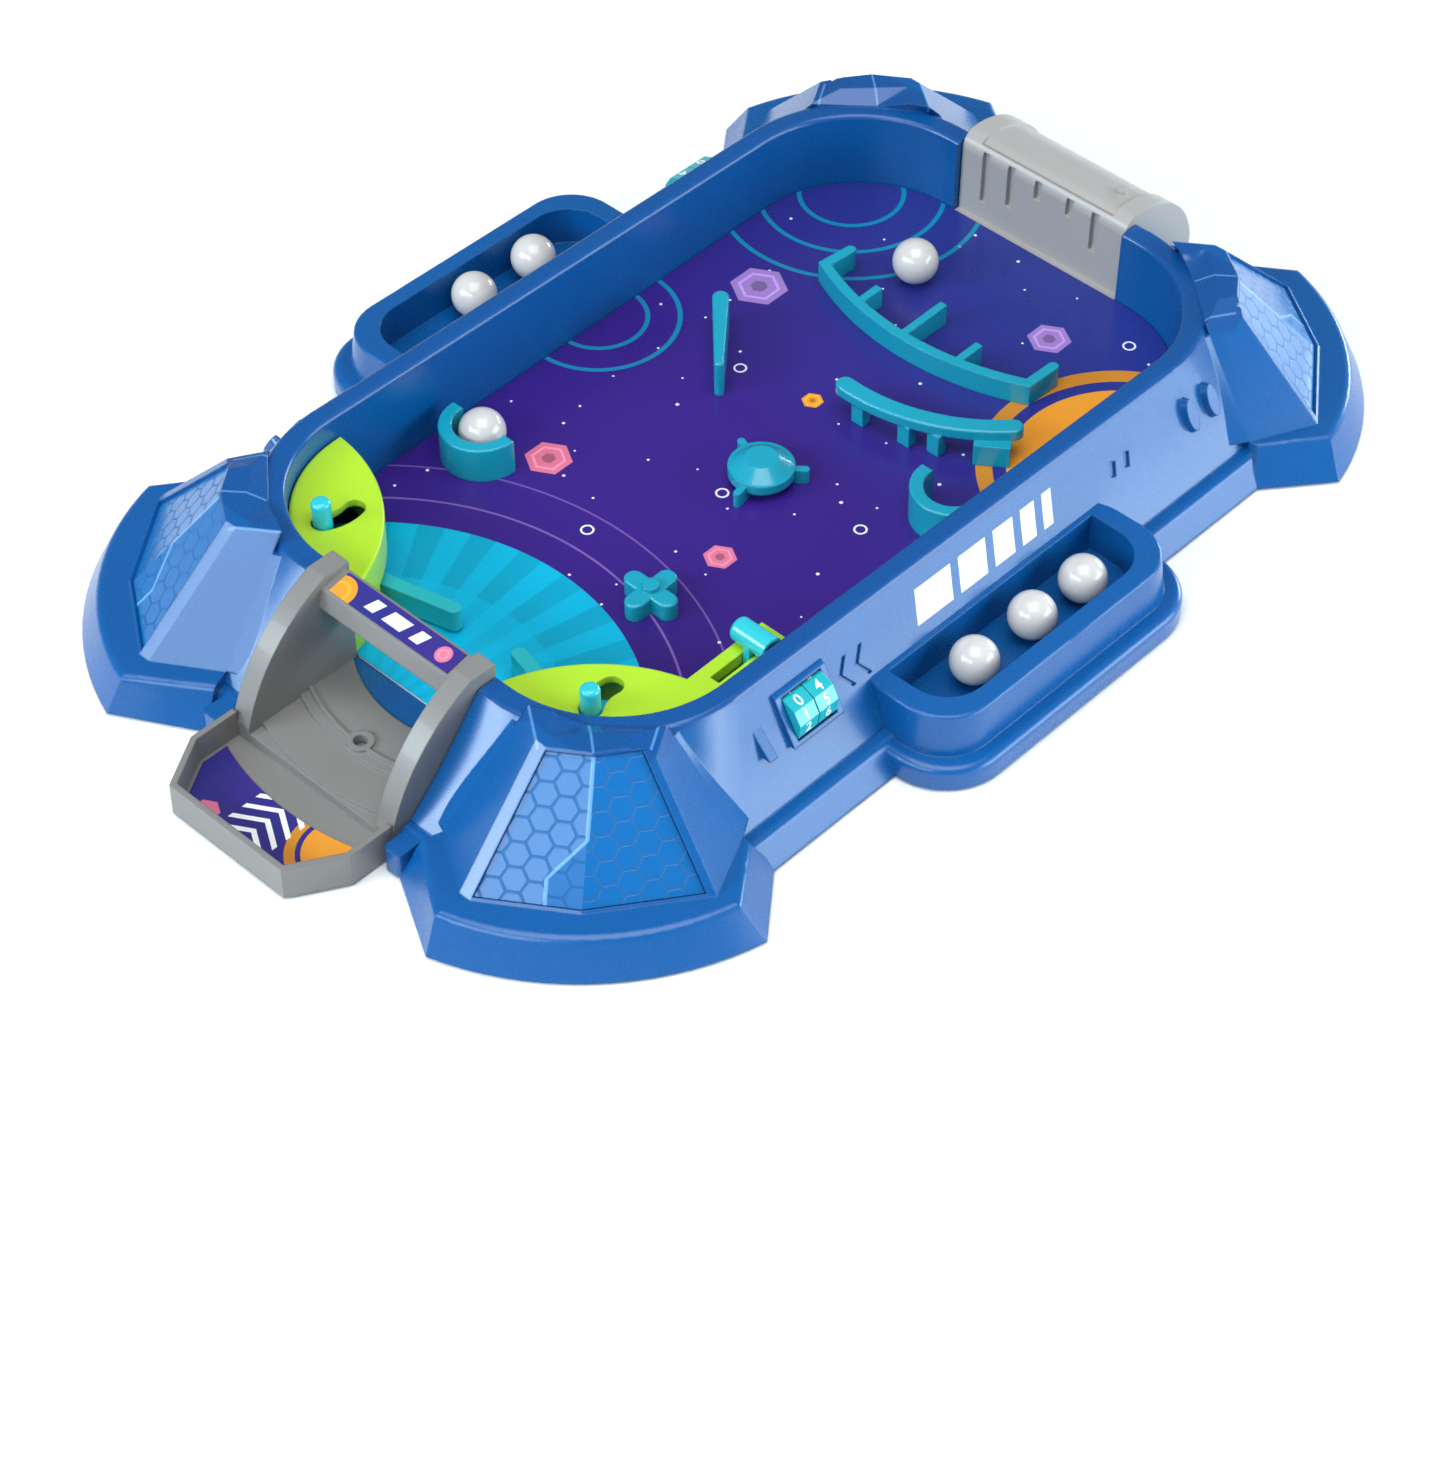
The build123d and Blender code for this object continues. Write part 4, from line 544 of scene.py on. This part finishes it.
class PINBALL_OT_cabinet(bpy.types.Operator):
    """Finish the cabinet shell with painted shade on its rim band, painted highlights on its collar creases
    and its side stripes, then the base plate, screws and pads.
    """

    bl_idname = "pinball.cabinet"
    bl_label = "Cabinet"

    def execute(self, context):
        tones = context.scene.pinball_colours
        rounding = context.scene.pinball_sizes.rounding
        shell = Finish("cabinet_blue", Specular_IOR_Level=0.45, Coat_Weight=0.18, Coat_Roughness=0.15)
        across, along, up = shell.millimetres()
        clouds, grain, worn = shell.moulding()
        tone = shell.mix(clouds, shade(tones.cabinet, 0.92), shade(tones.cabinet, 1.08))
        # The band round the rim is painted a deeper blue down to the wall's upper edge: painted shade on the
        # rim's top, which is the same plastic as the shell
        inside = shell.below(abs(across), rim_reach[0]) * shell.below(abs(along), rim_reach[1])
        rim = inside * (1 - shell.below(up, rim_foot, 0.4))
        tone = shell.mix(rim, tone, tones.rim)
        # Painted highlights on the creases over each collar, in line with the panel's fold and its two outer
        # edges
        for foot, head in collar_crease_highlights:
            run = Vector(head) - Vector(foot)
            way = run.normalized()
            off = abs(off_line(abs(across), abs(along), foot, way))
            on = along_line(abs(across), abs(along), foot, way)
            crease_highlight = shell.below(off, crease_highlight_half) * shell.between(on, 0.0, run.length) * (up > crease_highlight_foot)
            tone = shell.mix(crease_highlight * 0.6, tone, tones.panel_line)
        # Slanted stripes on each long side, thinner from one to the next, turned about on the left
        handed = along * (2 * (across > 0) - 1)
        slanted = handed - stripe_lean * (up - stripe_middle)
        band = shell.between(up, *stripe_edges) * (abs(across) > wall_reach)
        start = stripe_start
        for width in stripe_widths:
            stripe = shell.between(slanted, start, start + width) * band
            tone = shell.mix(stripe, tone, tones.stripe)
            start += width + stripe_gap
        shell.paint(tone, 0.27 + swing(grain, 0.05) + swing(worn, 0.03))
        shell.round_edges(rounding, (grain, grain_depth, grain_strength))
        dress(shell, "upper_shell")
        dress(moulded("base_blue", tones.base, rounding, 0.45), "base_cover")
        dress(moulded("pad_rubber", tones.rubber, rounding, 0.8), "rubber_pads")
        steel = metal("screw_steel", tones.steel, rounding / 4)
        dress(steel, "cover_screws", "flipper_pivot_pins", "right_counter_axle", "left_counter_axle")
        return {"FINISHED"}


class PINBALL_OT_corner_panels(bpy.types.Operator):
    """Finish the corner panels with honeycomb cells, glossy up to a stepped line."""

    bl_idname = "pinball.corner_panels"
    bl_label = "Corner panels"

    def execute(self, context):
        tones = context.scene.pinball_colours
        sizes = context.scene.pinball_sizes
        panel = Finish("panel_blue", Coat_Roughness=0.12)
        across, along, up = panel.millimetres()
        # All four panels are read as the far right one
        across = abs(across)
        along = abs(along)
        fold_run = (fold_foot - fold_top).normalized()
        off_fold = off_line(across, along, fold_top, fold_run)
        on_side = off_fold > 0
        end_way = along_line(across, along, fold_top, end_run)
        side_way = along_line(across, along, fold_top, side_run)
        crosswise = end_way + on_side * (side_way - end_way)
        downhill = (panel_top - up) * panel_stretch
        reach = honeycomb(crosswise, downhill, sizes.honeycomb / millimetre)
        inside = panel.below(reach, cell_share, 0.02)
        # The stepped line, and the end's part of the panel that lies past it
        step = panel.ramp(downhill, *step_span) * -step_width
        before = panel.below(off_fold, step, 0.15)
        line = panel.below(abs(off_fold - step), line_half, 0.15)
        overlap = (1 - before) * (1 - on_side)
        # Cells are glossy and the lines between them dull, so that only a lit half looks pale
        clouds = panel.noise(60.0, 2.0)
        cells = panel.mix(clouds, tones.panel, shade(tones.panel, 1.12))
        tone = panel.mix(inside, shade(tones.panel, 0.86), cells)
        tone = panel.mix(line, tone, tones.panel_line)
        panel.paint(tone, 0.26 + 0.2 * (1 - inside) + 0.3 * overlap + swing(clouds, 0.05))
        panel.feed(panel.shader.inputs["Coat Weight"], 0.15 * inside * (1 - overlap))
        panel.round_edges(sizes.rounding / 3, (inside, cell_depth, 0.5))
        for end in ("near", "far"):
            dress(panel, f"corner_panel_{end}_left", f"corner_panel_{end}_right")
        return {"FINISHED"}


class PINBALL_OT_playfield(bpy.types.Operator):
    """Print the playfield sheet with rings, hexagons and dots, and finish the board under it."""

    bl_idname = "pinball.playfield"
    bl_label = "Playfield"

    def execute(self, context):
        tones = context.scene.pinball_colours
        rounding = context.scene.pinball_sizes.rounding
        sheet = Finish("printed_sheet", Specular_IOR_Level=0.3, Coat_Weight=0.15, Coat_Roughness=0.1)
        across, along, _ = sheet.millimetres()
        clouds = sheet.noise(14.0, 4.0, 0.6)
        fine = sheet.noise(1800.0, 1.0)
        # Ground that turns bluer to the far end and deeper to the near right
        far_share = sheet.ramp(along + 0.3 * across + swing(clouds, 30.0), 10.0, 110.0)
        tone = sheet.mix(far_share, tones.field, tones.field_far)
        deep = sheet.ramp(along - 0.5 * across, -40.0, -110.0)
        tone = sheet.mix(deep * 0.5, tone, shade(tones.field, 0.6))
        # Scattered dots, one in some cells of an uneven net
        settings = {"voronoi_dimensions": "2D"}
        net = {"Vector": sheet.place, "Scale": dot_net}
        from_dot = sheet.node("ShaderNodeTexVoronoi", settings, net, "Distance")
        cell_colour = sheet.node("ShaderNodeTexVoronoi", settings, net, "Color")
        chosen = sheet.node("ShaderNodeSeparateColor", None, {0: cell_colour})
        dots = (1 - sheet.ramp(from_dot - dot_share * chosen, 0.0, dot_edge)) * (chosen > dot_empty)
        tone = sheet.mix(dots * 0.85, tone, tones.ink)
        # Pool round the way out, cyan with lighter spokes, and thin lines round it
        ripple = distance(across, along, pool_at)
        angle = sheet.math("ARCTAN2", along - pool_at[1], across - pool_at[0])
        spoke = sheet.below((angle * (pool_spokes / (2 * pi))) % 1.0, 0.5, 0.02)
        pool = sheet.mix(spoke * 0.35, tones.cyan, shade(tones.cyan, 1.7))
        pool = sheet.mix(sheet.below(ripple, pool_heart) * 0.5, pool, shade(tones.cyan, 1.4))
        for radius, width, strength in pool_lines:
            tone = sheet.mix(sheet.between(ripple, radius, radius + width) * strength, tone, tones.lilac)
        tone = sheet.mix(sheet.below(ripple, pool_radius), tone, pool)
        # Half rings in orange from the right-hand wall
        from_wall = distance(across, along, wall_rings_at)
        for outer, inner, strength in wall_rings:
            tone = sheet.mix(sheet.between(from_wall, inner, outer), tone, shade(tones.orange, strength))
        # Thin blue rings from the far left corner and from the left-hand wall
        for spot, radii in thin_rings:
            around = distance(across, along, spot)
            for radius in radii:
                ring = sheet.between(around, radius, radius + thin_ring_width)
                tone = sheet.mix(ring * 0.8, tone, shade(tones.cyan, 0.8))
        # Hexagons, each with a paler rim and a heart
        for spot, width, paint in hexagons:
            ink = getattr(tones, paint)
            reach = hexagon(across, along, spot)
            tone = sheet.mix(sheet.below(reach, width), tone, ink)
            tone = sheet.mix(sheet.between(reach, width * 0.62, width * 0.74), tone, shade(ink, 1.6))
            tone = sheet.mix(sheet.below(reach, width * 0.3), tone, shade(ink, 0.55))
        # Small white hoops
        for spot in hoops:
            hoop = sheet.between(distance(across, along, spot), *hoop_radii)
            tone = sheet.mix(hoop * 0.85, tone, tones.ink)
        sheet.paint(tone, 0.26 + swing(fine, 0.08))
        sheet.round_edges(rounding / 8, (fine, 0.00001, 0.1))
        dress(sheet, "playfield_sheet")
        dress(moulded("board_plastic", tones.board, rounding / 2, 0.5), "playfield_board")
        return {"FINISHED"}


class PINBALL_OT_field_pieces(bpy.types.Operator):
    """Finish the cups, guides, post and bumpers that stand on the field."""

    bl_idname = "pinball.field_pieces"
    bl_label = "Field pieces"

    def execute(self, context):
        tones = context.scene.pinball_colours
        rounding = context.scene.pinball_sizes.rounding
        teal = moulded("teal_plastic", tones.teal, rounding, 0.26, Coat_Weight=0.3)
        dress(teal, "left_cup", "right_cup", "upper_arc_guide", "lower_arc_guide")
        dress(teal, "wedge_post", "saucer_bumper", "star_bumper")
        return {"FINISHED"}


class PINBALL_OT_flippers(bpy.types.Operator):
    """Finish the flippers and their covers, and wind the return springs round their pins."""

    bl_idname = "pinball.flippers"
    bl_label = "Flippers"

    def execute(self, context):
        tones = context.scene.pinball_colours
        sizes = context.scene.pinball_sizes
        green = moulded("green_plastic", tones.green, sizes.rounding, 0.3, Coat_Weight=0.25)
        dress(green, "left_flipper_cover", "right_flipper_cover")
        teal = moulded("flipper_teal", tones.flipper, sizes.rounding, 0.24, Coat_Weight=0.3)
        dress(teal, "left_flipper", "right_flipper")
        steel = metal("spring_steel", tones.steel, sizes.rounding / 8)
        wire = sizes.coil_wire
        rise = return_spring_length * millimetre - 2 * wire
        height = return_spring_height + wire / millimetre
        axes = (sideways, up_field, off_field)
        for side, hand in (("left", -1), ("right", 1)):
            node = f"{side}_flipper_spring"
            foot = on_field(hand * pivot_at[0], pivot_at[1], height)
            name = f"{side}_flipper_coil"
            spring = coil(name, foot, axes, rise, sizes.coil_radius, wire, return_spring_turns)
            spring.data.materials.append(steel.material)
            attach(spring, "cabinet")
            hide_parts(node)
        return {"FINISHED"}


class PINBALL_OT_launcher(bpy.types.Operator):
    """Finish the launcher with its grip, and wind its spring."""

    bl_idname = "pinball.launcher"
    bl_label = "Launcher"

    def execute(self, context):
        tones = context.scene.pinball_colours
        sizes = context.scene.pinball_sizes
        dress(moulded("launcher_teal", tones.flipper, sizes.rounding, 0.24, Coat_Weight=0.3), "launcher")
        steel = metal("launcher_steel", tones.steel, sizes.rounding / 8)
        foot = on_field(*lane_spring_at)
        wire = sizes.lane_coil_wire
        rise = lane_spring_length * millimetre
        axes = (off_field, sideways, up_field)
        turns = lane_spring_length / lane_spring_pitch
        spring = coil("launcher_coil", foot, axes, rise, sizes.lane_coil_radius, wire, turns)
        spring.data.materials.append(steel.material)
        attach(spring, "cabinet")
        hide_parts("launcher_spring")
        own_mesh(spring)
        return {"FINISHED"}


class PINBALL_OT_score_wheels(bpy.types.Operator):
    """Finish the score wheels and put a digit on each of their flats."""

    bl_idname = "pinball.score_wheels"
    bl_label = "Score wheels"

    def digit_mesh(self, digit, height, lift):
        """Outline of one digit as a flat mesh, centred, standing lift off its plane."""
        curve = bpy.data.curves.new(f"digit_{digit}", "FONT")
        curve.body = str(digit)
        curve.align_x = "CENTER"
        curve.size = height / digit_share
        curve.offset = height * digit_swell
        curve.resolution_u = 4
        curve.extrude = lift
        text = bpy.data.objects.new(f"digit_{digit}", curve)
        bpy.context.scene.collection.objects.link(text)
        depsgraph = bpy.context.evaluated_depsgraph_get()
        mesh = bpy.data.meshes.new_from_object(text.evaluated_get(depsgraph))
        bpy.data.objects.remove(text)
        bpy.data.curves.remove(curve)
        points = np.empty(3 * len(mesh.vertices))
        mesh.vertices.foreach_get("co", points)
        points = points.reshape(-1, 3)
        points[:, 1] -= (points[:, 1].min() + points[:, 1].max()) / 2
        faces = [tuple(face.vertices) for face in mesh.polygons]
        bpy.data.meshes.remove(mesh)
        return points, faces

    def execute(self, context):
        tones = context.scene.pinball_colours
        sizes = context.scene.pinball_sizes
        wheel = moulded("wheel_teal", tones.wheel, sizes.rounding / 2, 0.22, Coat_Weight=0.4)
        ink = Finish("digit_ink")
        speck = ink.noise(3000.0, 1.0)
        ink.paint(ink.mix(speck, shade(tones.ink, 0.95), tones.ink), 0.35 + 0.1 * speck)
        shapes = [self.digit_mesh(digit, sizes.digit_height, sizes.digit_lift) for digit in range(10)]
        endways = np.array([0.0, 1.0, 0.0])
        to_flat = np.array([0.0, 0.0, sizes.wheel_reach])
        to_cabinet = np.array([0.0, cabinet_middle * millimetre, 0.0])
        # The left-hand counter is the right-hand one turned half round in plan
        for side, turned in (("right", 1), ("left", -1)):
            half_turn = np.array([turned, turned, 1.0])
            for place, shift, shown in counter_wheels:
                middle = np.array(counter_at) * millimetre + shift * sizes.wheel_pitch * endways
                points = []
                faces = []
                count = 0
                for digit, (shape, shape_faces) in enumerate(shapes):
                    angle = radians(wheel_turn - flat_turn * (digit - shown))
                    out = np.array([cos(angle), 0.0, sin(angle)])
                    upward = np.array([-sin(angle), 0.0, cos(angle)])
                    placed = (shape + to_flat) @ np.stack([endways, upward, out]) + middle
                    points.append(placed * half_turn + to_cabinet)
                    faces.extend(tuple(number + count for number in face) for face in shape_faces)
                    count += len(shape)
                name = f"{side}_score_wheel_{place}"
                digits = mesh_object(f"{name}_digits", np.concatenate(points), faces, smooth=False)
                digits.data.materials.append(ink.material)
                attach(digits, name)
                dress(wheel, name)
        return {"FINISHED"}


class PINBALL_OT_chute(bpy.types.Operator):
    """Finish the exit chute and far end panel in grey, with plain printed labels on the chute."""

    bl_idname = "pinball.chute"
    bl_label = "Exit chute and far end"

    def execute(self, context):
        tones = context.scene.pinball_colours
        rounding = context.scene.pinball_sizes.rounding
        for name, tone in (("exit_chute", tones.chute), ("far_end_panel", tones.grey)):
            dress(moulded(f"{name}_grey", tone, rounding, 0.4, Coat_Weight=0.1), name)
        dress(metal("chute_steel", tones.steel, rounding / 4), "chute_screw")
        label = Finish("label_print", Coat_Weight=0.4, Coat_Roughness=0.1)
        across, along, up = label.millimetres()
        clouds = label.noise(40.0, 3.0)
        tone = label.mix(clouds, shade(tones.field_far, 0.9), shade(tones.field, 1.1))
        on_bar = up > label_split
        on_tray = 1 - on_bar
        # Bar label: white slanted bars, a pink disc and an orange one, each disc with a paler ring
        off_middle = along - bar_along
        slant = abs(across - bar_lean * off_middle)
        bars = label.below(slant % bar_pitch, bar_width) * label.below(slant, bar_reach)
        bars = bars * label.below(abs(off_middle), bar_half)
        tone = label.mix(bars * on_bar, tone, tones.ink)
        discs = ((pink_disc, tones.pink, 1.5), (orange_disc, tones.orange, 1.3))
        for (spot, radius, edges), ink, paler in discs:
            around = distance(across, along, spot)
            tone = label.mix(label.below(around, radius) * on_bar, tone, ink)
            tone = label.mix(label.between(around, *edges) * on_bar, tone, shade(ink, paler))
        # Tray label: orange rings, a pink hexagon and white arrowheads down the middle
        around = distance(across, along, tray_rings_at)
        for outer, inner, strength in tray_rings:
            ring = label.between(around, inner, outer) * on_tray
            tone = label.mix(ring, tone, shade(tones.orange, strength))
        spot, width = tray_hexagon
        mark = label.below(hexagon(across, along, spot), width)
        tone = label.mix(mark * on_tray, tone, tones.pink)
        chevron = (along - arrow_along + arrow_slope * abs(across)) % arrow_pitch
        arrows = label.below(chevron, arrow_width) * label.below(abs(across), arrow_reach)
        arrows = arrows * label.between(along, *arrow_span)
        tone = label.mix(arrows * on_tray, tone, tones.ink)
        label.paint(tone, 0.28 + swing(clouds, 0.1))
        label.round_edges(rounding / 8)
        dress(label, "chute_bar_label", "chute_tray_label")
        return {"FINISHED"}


class PINBALL_OT_balls(bpy.types.Operator):
    """Finish the loose balls."""

    bl_idname = "pinball.balls"
    bl_label = "Balls"

    def execute(self, context):
        tones = context.scene.pinball_colours
        rounding = context.scene.pinball_sizes.rounding
        white = moulded("ball_white", tones.ball, rounding / 8, 0.22, Coat_Weight=0.3)
        names = [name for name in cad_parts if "ball" in name]
        if not names:
            raise RuntimeError("there are no balls to finish")
        dress(white, *names)
        return {"FINISHED"}


class PINBALL_OT_stage(bpy.types.Operator):
    """Lay the floor, hang the lights and set up the camera."""

    bl_idname = "pinball.stage"
    bl_label = "Stage"

    def hang_light(self, name, aim, spot, size, power, tint):
        """A soft oblong light at a spot, turned to an aim."""
        data = bpy.data.lights.new(name, "AREA")
        data.shape = "RECTANGLE"
        data.color = tint
        data.size, data.size_y = size
        data.energy = power
        light = bpy.data.objects.new(name, data)
        light.location = spot
        light.rotation_euler = (Vector(aim) - Vector(spot)).to_track_quat("-Z", "Y").to_euler()
        bpy.context.scene.collection.objects.link(light)

    def execute(self, context):
        tones = context.scene.pinball_colours
        half = context.scene.pinball_sizes.floor_width / 2
        steps = np.linspace(-half, half, floor_points)
        x, y = np.meshgrid(steps, steps, indexing="ij")
        points = np.stack([x, y, np.zeros_like(x)], -1).reshape(-1, 3)
        faces = grid_faces(floor_points, floor_points, False)[:, ::-1].tolist()
        floor = mesh_object("stage_floor", points, faces)
        paper = Finish("stage_paper")
        mottle = paper.noise(30.0, 3.0)
        paper.paint(paper.mix(mottle, shade(tones.floor, 0.995), tones.floor), 0.85 + 0.05 * mottle)
        floor.data.materials.append(paper.material)
        for light in lights:
            self.hang_light(*light)
        world = bpy.data.worlds.new("stage_world")
        world.use_nodes = True
        background = world.node_tree.nodes["Background"]
        background.inputs["Color"].default_value = world_colour
        background.inputs["Strength"].default_value = world_strength
        context.scene.world = world
        context.scene.view_settings.view_transform = "Standard"
        # Camera at the photograph's angle, aimed at a spot on the table, with a slight roll
        level = cos(camera_height)
        back = Vector((sin(camera_turn) * level, -cos(camera_turn) * level, sin(camera_height)))
        right = Vector((cos(camera_turn), sin(camera_turn), 0.0))
        upward = back.cross(right)
        rolled_right = right * cos(camera_roll) + upward * sin(camera_roll)
        rolled_up = upward * cos(camera_roll) - right * sin(camera_roll)
        data = bpy.data.cameras.new("camera")
        data.sensor_width = sensor_width
        data.lens = sensor_width * camera_focus / picture_height
        data.clip_start = camera_near
        camera = bpy.data.objects.new("camera", data)
        turn = Matrix((rolled_right, rolled_up, back)).transposed().to_4x4()
        camera.matrix_world = Matrix.Translation(camera_aim + back * camera_distance) @ turn
        context.scene.collection.objects.link(camera)
        context.scene.camera = camera
        return {"FINISHED"}


pieces = (
    PINBALL_OT_cabinet,
    PINBALL_OT_corner_panels,
    PINBALL_OT_playfield,
    PINBALL_OT_field_pieces,
    PINBALL_OT_flippers,
    PINBALL_OT_launcher,
    PINBALL_OT_score_wheels,
    PINBALL_OT_chute,
    PINBALL_OT_balls,
    PINBALL_OT_stage,
)


class PINBALL_PT_panel(bpy.types.Panel):
    """The game's pieces, with their sizes and colours."""

    bl_label = "Tabletop pinball game"
    bl_idname = "PINBALL_PT_panel"
    bl_space_type = "VIEW_3D"
    bl_region_type = "UI"
    bl_category = "Pinball"

    def draw(self, context):
        for piece in pieces:
            self.layout.operator(piece.bl_idname)
        for group in (context.scene.pinball_sizes, context.scene.pinball_colours):
            box = self.layout.box()
            for name in group.bl_rna.properties.keys():
                if name not in ("rna_type", "name"):
                    box.prop(group, name)


classes = (PinballSizes, PinballColours, *pieces, PINBALL_PT_panel)


def register():
    for cls in classes:
        bpy.utils.register_class(cls)
    bpy.types.Scene.pinball_sizes = PointerProperty(type=PinballSizes)
    bpy.types.Scene.pinball_colours = PointerProperty(type=PinballColours)


def unregister():
    del bpy.types.Scene.pinball_colours
    del bpy.types.Scene.pinball_sizes
    for cls in reversed(classes):
        bpy.utils.unregister_class(cls)


def main():
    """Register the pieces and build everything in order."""
    register()
    for piece in pieces:
        group, name = piece.bl_idname.split(".")
        getattr(getattr(bpy.ops, group), name)()


if __name__ == "__main__":
    main()
